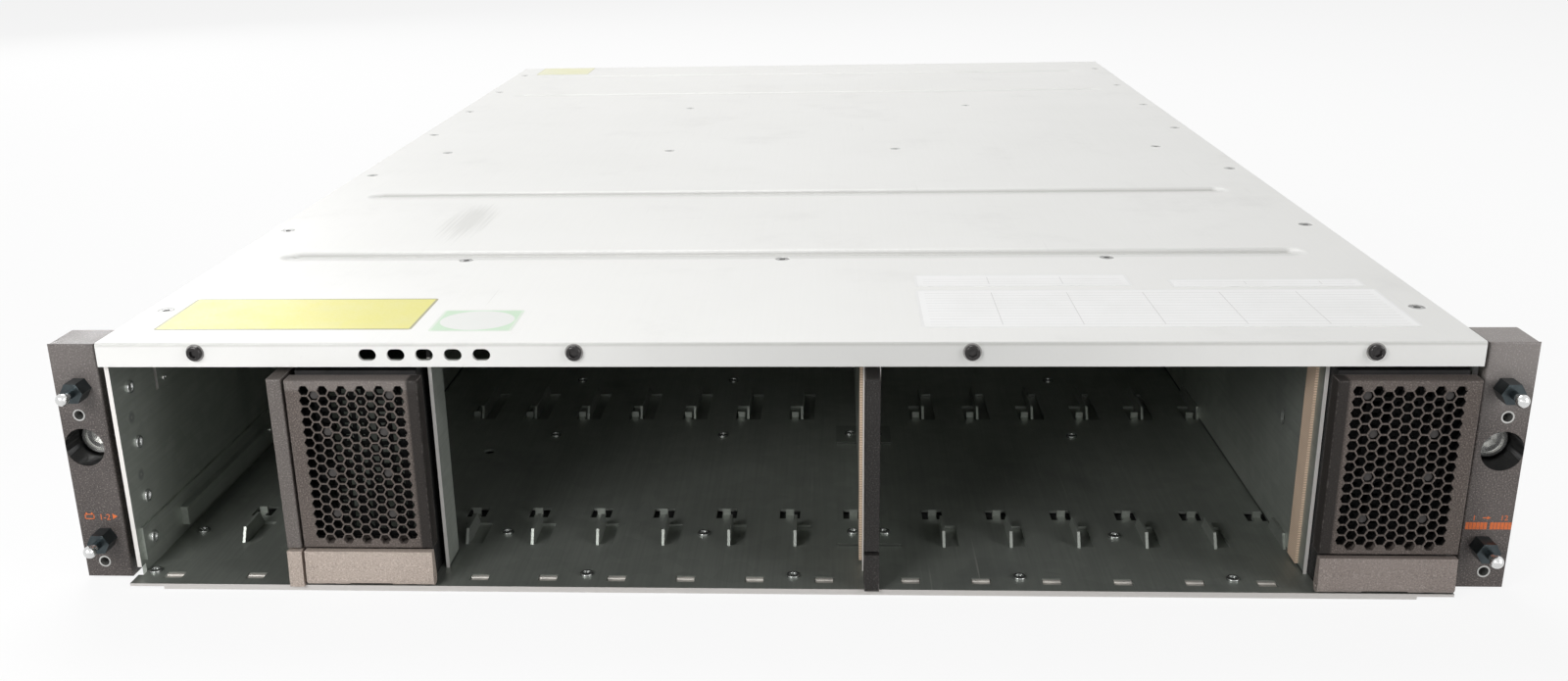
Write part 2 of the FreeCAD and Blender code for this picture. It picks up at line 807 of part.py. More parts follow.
def domed_rivet(axis, middle, seat, end, side):
    # Shank through the sheets, low cone-shaped head standing on the seat
    low, high = (end, seat) if side > 0 else (seat, end)
    shank = rod(axis, middle, low, high, "rivet_shank")
    top = f"{seat} + rivet_height" if side > 0 else f"{seat} - rivet_height"
    start, stop = (seat, top) if side > 0 else (top, seat)
    head = rod(axis, middle, start, stop, "rivet_head")
    return fuse(shank, head)


def guide_rivet_place():
    return "-guide_front / 2", "(guide_low + guide_high) / 2"


def make_rivets():
    grid, front = floor_rivet_places()
    pieces = [domed_rivet("z", spot, floor_top, "floor_sheet", 1) for spot in grid]
    pieces += [domed_rivet("z", spot, floor_top, "0", 1) for spot in front]
    foot_top = f"{floor_top} + channel_sheet"
    pieces += [domed_rivet("z", spot, foot_top, "floor_sheet", 1) for spot in foot_rivet_places()]
    outer = f"({wall_out} + bracket_leg)"
    for level in wall_rivet_levels():
        middle = ("-wall_rivet_row", level)
        pieces.append(domed_rivet("x", middle, f"-{wall_in}", f"-{outer}", 1))
        pieces.append(domed_rivet("x", middle, wall_in, outer, -1))
    pieces.append(domed_rivet("x", guide_rivet_place(), f"guide_sheet - {wall_in}", f"-{wall_out}", 1))
    node("rivets", group(pieces))


# Rack ears with their brackets, inserts, studs and captive screws
def stud_levels():
    return ["stud_level", "stud_level + stud_pitch"]


def insert_levels():
    return ["insert_level", "insert_level + insert_pitch"]


def make_ear(word, side):
    depth = ("-ear_depth", "0")
    height = ("ear_bottom", "ear_top")
    block = box(span(side, ear_inner, half_span), depth, height)
    front = size("ear_depth")
    shaped = rounded(block, size("ear_round"), lambda bounds: front_edges(bounds, front))
    pocket = box(span(side, f"{ear_inner} - slip", f"{half_span} - ear_rim"), ("-bracket_sheet", "slip"),
                 ("ear_bottom + ear_rim", "ear_top - ear_rim"))
    tools = [pocket]
    tools.append(rod("y", (f"{side} * well_x", "well_level"), "-ear_depth - slip", "slip - bracket_sheet",
                     "well_radius"))
    face = "-ear_depth - slip"
    for level in insert_levels():
        tools.append(rod("y", (f"{side} * insert_x", level), face, "insert_length - ear_depth",
                         "insert_radius"))
    for level in stud_levels():
        tools.append(rod("y", (f"{side} * stud_x", level), face, "stud_shank_length - ear_depth",
                         "stud_shank + rivet_fit"))
    node(f"{word}_ear", cut(shaped, tools))


def make_bracket(word, side):
    flange = box(span(side, wall_out, f"{half_span} - ear_rim - slip"), ("-bracket_sheet", "0"),
                 ("ear_bottom + ear_rim + slip", "ear_top - ear_rim - slip"))
    leg = box(span(side, wall_out, f"{wall_out} + bracket_leg"),
              ("-bracket_reach", "bracket_length - bracket_reach"),
              ("ear_bottom + bracket_margin", "ear_top - bracket_margin"))
    well = (f"{side} * well_x", "well_level")
    tools = [rod("y", well, "-bracket_sheet - slip", "slip", "rack_hole_radius")]
    start, end = span(side, f"{wall_out} - slip", f"{wall_out} + bracket_leg + slip")
    for level in wall_rivet_levels():
        tools.append(rod("x", ("-wall_rivet_row", level), start, end, "rivet_shank + rivet_fit"))
    node(f"{word}_ear_bracket", cut(fuse(flange, leg), tools))


def make_inserts():
    tubes = []
    for side in (-1, 1):
        for level in insert_levels():
            middle = (f"{side} * insert_x", level)
            tube = rod("y", middle, "-ear_depth - insert_proud", "insert_length - ear_depth", "insert_radius")
            bore = rod("y", middle, "-ear_depth - slip", "insert_length - ear_depth + slip", "insert_bore")
            tubes.append(cut(tube, [bore]))
    node("ear_inserts", group(tubes))


def make_studs():
    studs = []
    for side in (-1, 1):
        for level in stud_levels():
            middle = (f"{side} * stud_x", level)
            base = hexagon(middle, "-ear_depth - stud_hex_length", "-ear_depth", "stud_hex")
            neck = rod("y", middle, "-ear_depth - stud_reach", "-ear_depth", "stud_neck")
            tip = ball((middle[0], "-ear_depth - stud_reach", level), "ball_radius")
            shank = rod("y", middle, "-ear_depth", "stud_shank_length - ear_depth", "stud_shank")
            studs.append(fuse(base, neck, tip, shank))
    node("ball_studs", group(studs))


def make_rack_screw(word, side):
    middle = (f"{side} * well_x", "well_level")
    head = rod("y", middle, "-rack_head_front", "rack_head_length - rack_head_front", "rack_head_radius")
    neck = rod("y", middle, "-rack_head_front", "rack_neck_end", "rack_neck_radius")
    shaft = rod("y", middle, "-rack_head_front", "rack_screw_reach", "rack_screw_radius")
    recess = hexagon(middle, "-rack_head_front - slip", "rack_recess_depth - rack_head_front",
                     "rack_recess_radius")
    node(f"{word}_rack_screw", cut(fuse(head, neck, shaft), [recess]))


# Dividers, caps, post, gaskets and the battery runner
def make_cap(name, middle):
    slant = "flap_front - flap_lean"
    corners = [
        ("-divider_front", floor_top),
        ("-flap_front", floor_top),
        (f"-({slant})", "flap_top"),
        ("-divider_front - cap_width", "flap_top"),
        ("-divider_front - cap_width", "bezel_bottom"),
        ("-bezel_front", "bezel_bottom"),
        ("-bezel_front", "cap_top"),
        ("-divider_front", "cap_top"),
    ]
    low, high = around(middle, "cap_width")
    block = outline(name + "_block", "YZ_Plane", corners, low, high)
    front = size("bezel_front")

    def chosen(bounds):
        return front_edges(bounds, front) and bounds.ZMax > size("bezel_bottom") + 0.01

    node(name, rounded(block, size("cap_round"), chosen))


def make_battery_divider():
    middle = "-battery_divider_x"
    plate = box(around(middle, "divider_sheet"), ("-divider_front", "divider_rear"), (floor_top, rail_under))
    foot = box((f"{middle} - divider_foot", middle), ("clip_front + clip_depth", "far_fin_front - slip"),
               (floor_top, f"{floor_top} + divider_sheet"))
    node("battery_divider", fuse(plate, foot))
    make_cap("battery_divider_cap", middle)


def make_post():
    depth = ("-divider_front", "post_depth - divider_front")
    node("left_post", box(around("-post_x", "divider_sheet"), depth, (floor_top, rail_under)))


def make_centre_divider():
    depth = ("-divider_front", "divider_rear")
    height = (floor_top, rail_under)
    outer = box(around("centre_x", "channel_width"), depth, height)
    inner = box(around("centre_x", "channel_width - 2 * channel_sheet"),
                ("channel_sheet - divider_front", "divider_rear + slip"),
                (f"{floor_top} - slip", f"{rail_under} + slip"))
    feet = [box(around("centre_x", "foot_width"), (start, f"{start} + foot_length"),
                (floor_top, f"{floor_top} + channel_sheet")) for start in foot_starts()]
    tools = [rod("z", spot, f"{floor_top} - slip", f"{floor_top} + channel_sheet + slip",
                 "rivet_shank + rivet_fit") for spot in foot_rivet_places()]
    node("centre_divider", cut(fuse(cut(outer, [inner]), *feet), tools))
    make_cap("centre_divider_cap", "centre_x")


def make_right_divider():
    plate = box(around("right_divider_x", "divider_sheet"), ("-divider_front", "divider_rear"),
                (floor_top, rail_under))
    foot = box(("right_divider_x", "right_divider_x + divider_foot"), ("near_fin_front", "divider_rear"),
               (floor_top, f"{floor_top} + divider_sheet"))
    across = around("right_divider_x", "2 * divider_sheet")
    rise = "(divider_hole_height - divider_hole_width)"
    slot = box(across, around("divider_hole_y", "divider_hole_width"), around("divider_hole_level", rise))
    ends = [rod("x", ("divider_hole_y", f"divider_hole_level + {side} * {rise} / 2"), *across,
                "divider_hole_width / 2") for side in (-1, 1)]
    node("right_divider", cut(fuse(plate, foot), [fuse(slot, *ends)]))


def make_gaskets():
    depth = ("-gasket_setback", "gasket_width - gasket_setback")
    height = (f"{floor_top} + channel_sheet", f"{lip_bottom} + gasket_setback")
    centre_face = "centre_x - channel_width / 2"
    right_face = "right_divider_x - divider_sheet / 2"
    strips = [box((f"{face} - gasket_thick", face), depth, height) for face in (centre_face, right_face)]
    node("emi_gaskets", group(strips))


def make_guide():
    strip = box((f"-{wall_in}", f"guide_sheet - {wall_in}"), ("-guide_front", "guide_length - guide_front"),
                ("guide_low", "guide_high"))
    ledge = box((f"guide_sheet - {wall_in}", f"guide_sheet + ledge_width - {wall_in}"),
                ("ledge_front", "guide_length - guide_front"), ("guide_low", "guide_low + ledge_height"))
    hole = rod("x", guide_rivet_place(), f"-{wall_in} - slip", f"guide_sheet - {wall_in} + slip",
               "rivet_shank + rivet_fit")
    node("battery_guide", cut(fuse(strip, ledge), [hole]))


# Filler modules
def bezel_height():
    top = size("body_height") - size("lip_height") - size("bezel_top_gap")
    return top - size("bezel_bottom")


def hex_cells():
    # Column and row of each cell, and its height above the grille's centre in row pitches
    reach = size("bezel_width") / 2 - size("grille_side") - size("hex_flats") / math.sqrt(3)
    columns = int(reach / size("hex_column_pitch"))
    clear = bezel_height() - 2 * size("grille_margin") - size("hex_flats")
    rows = int(clear / size("hex_row_pitch") + 0.5)
    for column in range(-columns, columns + 1):
        shift = 0.25 if column % 2 else -0.25
        for row in range(rows):
            yield column, row, (rows - 1) / 2 - row + shift


def is_peg(column, row):
    return (abs(column), row) in ((4, 0), (3, 4), (3, 8), (3, 12))


def grille_holes(middle):
    # One hexagon per cell, flat sides up and down, sized from the sheet
    radius = size("hex_flats") / math.sqrt(3)
    depth = size("grille_plate")
    prisms = []
    for column, row, rise in hex_cells():
        x = column * size("hex_column_pitch")
        z = rise * size("hex_row_pitch")
        turns_round = [k * math.pi / 3 for k in range(7)]
        corners = [Vector(x + radius * math.cos(t), 0, z + radius * math.sin(t)) for t in turns_round]
        prisms.append(Part.Face(Part.makePolygon(corners)).extrude(Vector(0, 3 * depth, 0)))
    item = doc.addObject("Part::Feature", "grille_cells")
    item.Shape = Part.makeCompound(prisms)
    return place(item, (middle, "-bezel_front - grille_plate", "hex_centre_level"))


def make_bezel(word, sign):
    middle = f"{sign} * {word}_filler_x"
    depth = ("-bezel_front", f"-{filler_front}")
    outer = box(around(middle, "bezel_width"), depth, ("bezel_bottom", "bezel_top"))
    front = size("bezel_front")
    shaped = rounded(outer, size("bezel_round"), lambda bounds: front_edges(bounds, front))
    hollow = box(around(middle, "bezel_width - 2 * bezel_wall"),
                 ("grille_plate - bezel_front", f"slip - {filler_front}"),
                 ("bezel_bottom + bezel_wall", "bezel_top - bezel_wall"))
    cells = grille_holes(middle)
    node(f"{word}_filler_bezel", cut(cut(shaped, [hollow]), [cells]))


def make_filler_box(word, sign):
    middle = f"{sign} * {word}_filler_x"
    low = f"({floor_top} + slip)"
    outer = box(around(middle, "filler_width"), (f"-{filler_front}", "filler_rear"), (low, "filler_top"))
    inner = box(around(middle, "filler_width - 2 * filler_sheet"),
                (f"filler_sheet - {filler_front}", "filler_rear + slip"),
                (f"{low} + filler_sheet", "filler_top - filler_sheet"))
    vent = box(around(middle, "bezel_width - 4 * bezel_wall"),
               (f"-{filler_front} - slip", f"2 * filler_sheet - {filler_front}"),
               ("bezel_bottom + 2 * bezel_wall", "bezel_top - 2 * bezel_wall"))
    axis = ("-flap_axis_y", "flap_axis_z")
    lugs = []
    bores = []
    for side in (-1, 1):
        x = around(f"{middle} + {side} * lug_x", "lug_width")
        lugs.append(box(x, ("-flap_axis_y", f"-{filler_front}"), around("flap_axis_z", "2 * lug_radius")))
        lugs.append(rod("x", axis, *x, "lug_radius"))
        bores.append(rod("x", axis, f"{x[0]} - slip", f"{x[1]} + slip", "hinge_pin"))
    shell = cut(outer, [inner, vent])
    node(f"{word}_filler_box", cut(fuse(shell, *lugs), bores))


def make_screen(word, sign):
    middle = f"{sign} * {word}_filler_x"
    back = f"-{filler_front}"
    plate = box(around(middle, "bezel_width - 2 * bezel_wall - 2 * slip"), (f"{back} - screen_sheet", back),
                ("bezel_bottom + bezel_wall + slip", "bezel_top - bezel_wall - slip"))
    holes = []
    edge = size("bezel_wall") + size("screen_hole")
    columns = int((size("bezel_width") / 2 - edge) / size("screen_pitch"))
    rows = int((bezel_height() / 2 - edge) / size("screen_pitch"))
    for column in range(-columns, columns + 1):
        for row in range(-rows, rows + 1):
            x = around(f"{middle} + {column} * screen_pitch", "screen_hole")
            z = around(f"hex_centre_level + {row} * screen_pitch", "screen_hole")
            holes.append(box(x, (f"{back} - 2 * screen_sheet", f"{back} + screen_sheet"), z))
    pegs = []
    for column, row, rise in hex_cells():
        if is_peg(column, row):
            spot = (f"{middle} + {column} * hex_column_pitch", f"hex_centre_level + {rise} * hex_row_pitch")
            pegs.append(rod("y", spot, "peg_sink - bezel_front", f"{back} - screen_sheet / 2", "peg_radius"))
    node(f"{word}_filler_screen", fuse(cut(plate, holes), *pegs))


def make_flap(word, sign):
    middle = f"{sign} * {word}_filler_x"
    low, high = around(middle, "bezel_width - 2 * flap_margin")
    corners = [
        ("-flap_front", "flap_axis_z"),
        ("flap_lean - flap_front", "flap_top"),
        ("flap_lean + flap_thick - flap_front", "flap_top"),
        ("flap_barrel - flap_axis_y", "flap_axis_z"),
    ]
    plate = outline(f"{word}_flap_plate", "YZ_Plane", corners, low, high)
    axis = ("-flap_axis_y", "flap_axis_z")
    barrel = rod("x", axis, low, high, "flap_barrel")
    claws = [box(around(f"{middle} + {side} * claw_x", "claw_width"), ("-flap_axis_y", "-claw_reach"),
                 ("flap_axis_z - flap_barrel", "flap_axis_z")) for side in (-1, 1)]
    tools = [rod("x", axis, f"{low} - slip", f"{high} + slip", "hinge_pin + bearing_fit")]
    for side in (-1, 1):
        x = around(f"{middle} + {side} * lug_x", "lug_width + 2 * slip")
        tools.append(rod("x", axis, *x, "lug_radius + bearing_fit"))
        tools.append(box(x, ("-flap_axis_y - lug_radius - bearing_fit", "flap_barrel - flap_axis_y + slip"),
                         ("flap_axis_z - 2 * flap_barrel", "flap_axis_z")))
        tools.append(box(x, ("-flap_axis_y", "flap_barrel - flap_axis_y + slip"),
                         ("flap_axis_z - slip", "flap_axis_z + lug_radius + bearing_fit")))
    tools.append(box(around(middle, "flap_notch"), ("-flap_front - slip", "-flap_axis_y"),
                     ("flap_axis_z - 2 * flap_barrel", "flap_axis_z - flap_barrel + flap_notch_height")))
    node(f"{word}_filler_flap", cut(fuse(plate, barrel, *claws), tools))


def make_flap_pin(word, sign):
    low, high = around(f"{sign} * {word}_filler_x", "bezel_width - 4 * flap_margin")
    node(f"{word}_flap_pin", rod("x", ("-flap_axis_y", "flap_axis_z"), low, high, "hinge_pin"))


# Bulkhead, midplane board and its connectors
def plug_middles():
    slots = [f"{start} + {k}.5 * slot_pitch" for start in (left_lattice, right_lattice) for k in range(6)]
    return slots + ["-left_filler_x", "-battery_fin_x"]


def make_bulkhead():
    half = f"({wall_in} - slip)"
    rear = "bulkhead_y + bulkhead_sheet"
    plate = box(both(half), ("bulkhead_y", rear), (floor_top, flange_under))
    flange_depth = ("bulkhead_y - bulkhead_flange", rear)
    top = box(both(rail_half), flange_depth, (flange_under, cover_under))
    low = box(both(half), flange_depth, (floor_top, f"{floor_top} + bulkhead_sheet"))
    levels = ["board_low + 2 * standoff_radius", "board_high - 2 * standoff_radius"]
    posts = [rod("y", (f"{side} * standoff_x", level), rear, board_front, "standoff_radius")
             for side in (-1, 1) for level in levels]
    through = ("bulkhead_y - slip", f"{rear} + slip")
    height = ("plug_low - plug_clear", "plug_high + plug_clear")
    tools = [box(around(x, "plug_width + 2 * plug_clear"), through, height) for x in plug_middles()]
    tools += screw_holes(bulkhead_screw_places(), f"{flange_under} - slip", f"{cover_under} + slip")
    node("midplane_bulkhead", cut(fuse(plate, top, low, *posts), tools))


def make_midplane():
    node("midplane_board", box(both("board_half"), (board_front, board_back), ("board_low", "board_high")))
    front = (f"{board_front} - plug_depth", board_front)
    plugs = [box(around(x, "plug_width"), front, ("plug_low", "plug_high")) for x in plug_middles()]
    rear = (board_back, f"{board_back} + socket_depth_rear")
    for level in module_lows:
        height = (f"{level} + card_level", f"{level} + card_level + socket_height_rear")
        for k in range(2):
            middle = f"{k} * rear_socket_pitch - rear_socket_first"
            plugs.append(box(around(middle, "socket_width_rear"), rear, height))
    node("midplane_connectors", group(plugs))


# Rear bays: wall, shelf and strap in one welded frame
def make_bay_frame():
    depth = ("bay_front", shell_rear)
    wall = box(("bay_wall_x", "bay_wall_x + bay_sheet"), depth, (floor_top, cover_under))
    top = (f"{cover_under} - bay_sheet", cover_under)
    flange = box(("bay_wall_x - flange_width", "bay_wall_x"), depth, top)
    shelf = box(both(f"({wall_in} - slip)"), depth, (shelf_low, shelf_top))
    strap = box((f"-{rail_half}", "bay_wall_x"), ("strap_y", "strap_y + strap_width"), top)
    tools = screw_holes(strap_screw_places(), f"{cover_under} - bay_sheet - slip", f"{cover_under} + slip")
    node("rear_bay_frame", cut(fuse(wall, flange, shelf, strap), tools))


# A fan: square frame with a strut and a pin, and a rotor that turns on the pin
def fan_frame(x, z, rear):
    front = f"({rear} - fan_depth)"
    block = box(around(x, "fan_size"), (front, rear), around(z, "fan_size"))
    bore = rod("y", (x, z), f"{front} - slip", f"{rear} + slip", "fan_bore")
    strut = box(around(x, "fan_size"), (front, f"{front} + strut_depth"), around(z, "strut_width"))
    pin = rod("y", (x, z), front, f"{rear} - strut_depth", "fan_pin")
    return fuse(cut(block, [bore]), strut, pin)


def fan_rotor(x, z, rear):
    start = f"({rear} - fan_depth + strut_depth + bearing_fit)"
    end = f"({rear} - strut_depth)"
    hub = rod("y", (x, z), start, end, "hub_radius")
    bore = rod("y", (x, z), f"{start} - slip", f"{end} + slip", "fan_pin + bearing_fit")
    blades = []
    for k in range(5):
        blade = doc.addObject("Part::Box", "blade")
        bind(blade, "Length", "blade_radius - fan_pin - bearing_fit")
        bind(blade, "Width", "blade_chord")
        bind(blade, "Height", "blade_sheet")
        pitch = Rotation(Vector(1, 0, 0), 35)
        blade.Placement.Rotation = Rotation(Vector(0, 1, 0), 72 * k) * pitch
        place(blade, (x, f"{start} + blade_sheet", z))
        blades.append(blade)
    trimmed = doc.addObject("Part::MultiCommon", "blades")
    trimmed.Shapes = [fuse(hub, *blades), rod("y", (x, z), start, end, "blade_radius")]
    return cut(trimmed, [bore])


# Controller canisters
def canister_sides():
    return f"(module_side_gap - {wall_in})", "(bay_wall_x - module_side_gap)"


def canister_fans():
    right = canister_sides()[1]
    return [f"({right} - fan_inset - {k} * fan_pitch)" for k in range(2)]


def port_middles():
    # Centred between the end of the lever and the inner fan
    lever_end = f"({canister_sides()[0]} + lever_inset + lever_length)"
    fan_edge = f"({canister_fans()[1]} - fan_size / 2)"
    return [f"(({lever_end} + {fan_edge}) / 2 + {k} * port_pitch)" for k in (-1, 0, 1)]


def make_canister(word, low):
    left, right = canister_sides()
    middle = f"({low} + {module_height} / 2)"
    panel_front = "(cover_rear - panel_sheet)"
    lid_low = f"({low} + {module_height} - tray_sheet)"
    card_low = f"({low} + tray_sheet + card_level)"
    card_rear = f"({panel_front} - card_rear)"
    depth = ("canister_front", panel_front)
    floor = box((left, right), depth, (low, f"{low} + tray_sheet"))
    sides = [box((left, f"{left} + tray_sheet"), depth, (low, lid_low)),
             box((f"{right} - tray_sheet", right), depth, (low, lid_low))]
    panel = box((left, right), (panel_front, "cover_rear"), (low, f"{low} + {module_height}"))
    posts = [rod("z", (x, y), f"{low} + tray_sheet", card_low, "card_post")
             for x in (f"{left} + 2 * card_margin", f"{right} - 2 * card_margin")
             for y in ("canister_front + 2 * card_margin", f"{card_rear} - card_margin")]
    port_level = f"({card_low} + card_sheet + port_height / 2)"
    tools = [box(around(x, "port_width"), (f"{panel_front} - slip", "cover_rear + slip"),
                 around(port_level, "port_height")) for x in port_middles()]
    tools += [rod("y", (x, middle), f"{panel_front} - slip", "cover_rear + slip", "fan_bore")
              for x in canister_fans()]
    lever_x = f"({left} + lever_inset)"
    lever_y = "(cover_rear + lever_gap + knuckle_radius)"
    for k in range(8):
        vent_x = around(f"({lever_x} + vent_first + {k} * vent_pitch)", "vent_width")
        for side in (-1, 1):
            tools.append(box(vent_x, (f"{panel_front} - slip", "cover_rear + slip"),
                             around(f"({middle} + {side} * vent_rise)", "vent_height")))
    lugs = []
    for side in (-1, 1):
        near = f"{middle} + {side} * (lever_height / 2 + slip)"
        far = f"{middle} + {side} * (lever_height / 2 + slip + lug_height)"
        height = (near, far) if side > 0 else (far, near)
        reach = ("cover_rear", f"{lever_y} + knuckle_radius")
        lugs.append(box(around(lever_x, "2 * knuckle_radius"), reach, height))
    pin = rod("z", (lever_x, lever_y), f"{middle} - lever_height / 2 - lug_height",
              f"{middle} + lever_height / 2 + lug_height", "knuckle_pin")
    node(f"{word}_canister_tray", fuse(cut(fuse(floor, *sides, panel, *posts), tools), *lugs, pin))
    node(f"{word}_canister_cover", box((left, right), depth, (lid_low, f"{low} + {module_height}")))

    card_x = (f"{left} + card_margin", f"{right} - card_margin")
    card = box(card_x, ("canister_front + card_margin", card_rear), (card_low, f"{card_low} + card_sheet"))
    sink = [box(around(f"({left} + {right}) / 2 + {k} * heatsink_size", "heatsink_size"),
                ("bay_front + 2 * heatsink_size", "bay_front + 3 * heatsink_size"),
                (f"{card_low} + card_sheet", f"{card_low} + card_sheet + heatsink_height")) for k in (-1, 1)]
    node(f"{word}_canister_board", fuse(card, *sink))

    cages = []
    for x in port_middles():
        rear = "cover_rear"
        outer = box(around(x, "port_width - 2 * slip"), (f"{rear} - port_depth", rear),
                    around(port_level, "port_height - 2 * slip"))
        hollow = box(around(x, "port_width - 2 * slip - 2 * port_wall"),
                     (f"{rear} - port_depth + port_wall", f"{rear} + slip"),
                     around(port_level, "port_height - 2 * slip - 2 * port_wall"))
        cages.append(cut(outer, [hollow]))
    node(f"{word}_canister_ports", group(cages))

    bar = box((lever_x, f"{lever_x} + lever_length"), around(lever_y, "lever_thick"),
              around(middle, "lever_height"))
    knuckle = rod("z", (lever_x, lever_y), f"{middle} - lever_height / 2", f"{middle} + lever_height / 2",
                  "knuckle_radius - slip")
    bore = rod("z", (lever_x, lever_y), f"{middle} - lever_height", f"{middle} + lever_height",
               "knuckle_pin + bearing_fit")
    node(f"{word}_canister_lever", cut(fuse(bar, knuckle), [bore]))

    rear = panel_front
    node(f"{word}_canister_fan_frames", group([fan_frame(x, middle, rear) for x in canister_fans()]))
    for letter, x in zip("ab", canister_fans()):
        node(f"{word}_canister_rotor_{letter}", fan_rotor(x, middle, rear))


# Power supplies
def make_supply(word, low):
    left = "(bay_wall_x + bay_sheet + module_side_gap)"
    right = f"({wall_in} - module_side_gap)"
    middle = f"({low} + {module_height} / 2)"
    high = f"({low} + {module_height})"
    outer = box((left, right), ("supply_front", "cover_rear"), (low, high))
    inner = box((f"{left} + supply_sheet", f"{right} - supply_sheet"),
                ("supply_front + supply_sheet", "cover_rear - supply_sheet"),
                (f"{low} + supply_sheet", f"{high} - supply_sheet"))
    fan_x = f"({left} + supply_fan_inset)"
    inlet_x = f"({right} - inlet_inset)"
    fan_rear = "(cover_rear - supply_sheet)"
    vent = rod("y", (fan_x, middle), f"{fan_rear} - slip", "cover_rear + slip", "fan_bore")
    well = box(around(inlet_x, "inlet_width + 2 * inlet_wall"), ("cover_rear - inlet_depth", "cover_rear"),
               around(middle, "inlet_height + 2 * inlet_wall"))
    inside = ("cover_rear - inlet_depth + inlet_wall", "cover_rear + slip")
    mouth = box(around(inlet_x, "inlet_width"), inside, around(middle, "inlet_height"))
    blades = [box(around(f"{inlet_x} + {k} * inlet_width / 4", "inlet_wall"),
                  ("cover_rear - inlet_depth", "cover_rear - inlet_sink"), around(middle, "2 * inlet_wall"))
              for k in (-1, 0, 1)]
    axis_y = "(cover_rear + handle_gap + handle_thick / 2)"
    axis_z = f"({low} + handle_axis_level)"
    arms = around(fan_x, "handle_width")
    lugs = []
    for side in (-1, 1):
        edge = f"({fan_x} + {side} * handle_width / 2)"
        lug_x = f"({edge} - {side} * (1.5 * handle_thick + slip))"
        pin_x = f"({edge} - {side} * (handle_thick + slip / 2))"
        reach = ("cover_rear", f"{axis_y} + handle_thick / 2")
        lugs.append(box(around(lug_x, "handle_thick"), reach, around(axis_z, "handle_thick")))
        lugs.append(rod("x", (axis_y, axis_z), *around(pin_x, "handle_thick + slip"), "handle_pin"))
    frame = fan_frame(fan_x, middle, fan_rear)
    shell = fuse(cut(outer, [inner, vent]), well)
    node(f"{word}_supply_case", fuse(cut(shell, [mouth]), *blades, *lugs, frame))
    node(f"{word}_supply_rotor", fan_rotor(fan_x, middle, fan_rear))

    rise = (axis_z, f"{axis_z} + handle_rise")
    thick = around(axis_y, "handle_thick")
    low_arm = (arms[0], f"{arms[0]} + handle_thick")
    high_arm = (f"{arms[1]} - handle_thick", arms[1])
    loop = [box(low_arm, thick, rise), box(high_arm, thick, rise),
            box(arms, thick, (f"{rise[1]} - handle_thick", rise[1]))]
    eyes = [rod("x", (axis_y, axis_z), *x, "handle_thick / 2") for x in (low_arm, high_arm)]
    bores = [rod("x", (axis_y, axis_z), f"{x[0]} - slip", f"{x[1]} + slip", "handle_pin + bearing_fit")
             for x in (low_arm, high_arm)]
    node(f"{word}_supply_handle", cut(fuse(*loop, *eyes), bores))


# The whole enclosure
make_floor()
make_wall("left_side_wall", -1)
make_wall("right_side_wall", 1)
make_cover()
make_front_rail()
make_screws()
make_rivets()
for word, side in (("left", -1), ("right", 1)):
    make_ear(word, side)
    make_bracket(word, side)
    make_rack_screw(word, side)
make_inserts()
make_studs()
make_battery_divider()
make_post()
make_centre_divider()
make_right_divider()
make_gaskets()
make_guide()
for word, sign in (("left", -1), ("right", 1)):
    make_bezel(word, sign)
    make_filler_box(word, sign)
    make_screen(word, sign)
    make_flap(word, sign)
    make_flap_pin(word, sign)
make_bulkhead()
make_midplane()
make_bay_frame()
for word, low in zip(("lower", "upper"), module_lows):
    make_canister(word, low)
    make_supply(word, low)

doc.recompute()

# Nothing is written unless every object is sound
for item in doc.Objects:
    if "Invalid" in item.State or "Error" in item.State:
        raise RuntimeError(f"{item.Label} failed: {item.State}")
for item in nodes:
    if item.Shape.isNull() or not item.Shape.isValid():
        raise RuntimeError(f"{item.Label} has no valid shape")

os.makedirs("parts", exist_ok=True)
for item in nodes:
    item.Shape.exportStep(f"parts/{item.Label}.step")
print(len(nodes), "sub-parts written")
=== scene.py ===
import json
import math

import bpy
from mathutils import Matrix, Vector


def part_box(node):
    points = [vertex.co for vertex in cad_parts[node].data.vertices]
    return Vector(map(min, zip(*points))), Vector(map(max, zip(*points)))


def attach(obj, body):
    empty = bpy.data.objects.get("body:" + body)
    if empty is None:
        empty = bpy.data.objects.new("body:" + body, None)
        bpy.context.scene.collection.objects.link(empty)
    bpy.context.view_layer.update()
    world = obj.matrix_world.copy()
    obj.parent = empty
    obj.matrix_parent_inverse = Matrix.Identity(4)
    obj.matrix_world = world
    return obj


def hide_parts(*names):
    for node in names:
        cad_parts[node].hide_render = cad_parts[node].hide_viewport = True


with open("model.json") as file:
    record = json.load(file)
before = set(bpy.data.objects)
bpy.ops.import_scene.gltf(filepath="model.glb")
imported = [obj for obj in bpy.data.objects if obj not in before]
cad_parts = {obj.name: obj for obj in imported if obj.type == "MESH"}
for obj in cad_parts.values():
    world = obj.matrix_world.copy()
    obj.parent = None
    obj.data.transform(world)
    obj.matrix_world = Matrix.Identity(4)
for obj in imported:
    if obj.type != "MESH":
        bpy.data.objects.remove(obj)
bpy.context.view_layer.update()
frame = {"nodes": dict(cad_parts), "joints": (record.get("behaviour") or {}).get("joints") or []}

nodes = frame["nodes"]
mm = 0.001  # metres in a millimetre
sides = ("left", "right")
levels = ("lower", "upper")
bpy.ops.object.select_all(action="DESELECT")
print("frame loaded:", len(nodes), "nodes")


# Small helpers for shader trees
def addNode(tree, kind, **values):
    node = tree.nodes.new(kind)
    for key, value in values.items():
        setattr(node, key, value)
    return node


def feed(tree, socket, source):
    # A source is another node's output, or a plain value for the socket
    if isinstance(source, bpy.types.NodeSocket):
        tree.links.new(source, socket)
    else:
        socket.default_value = source


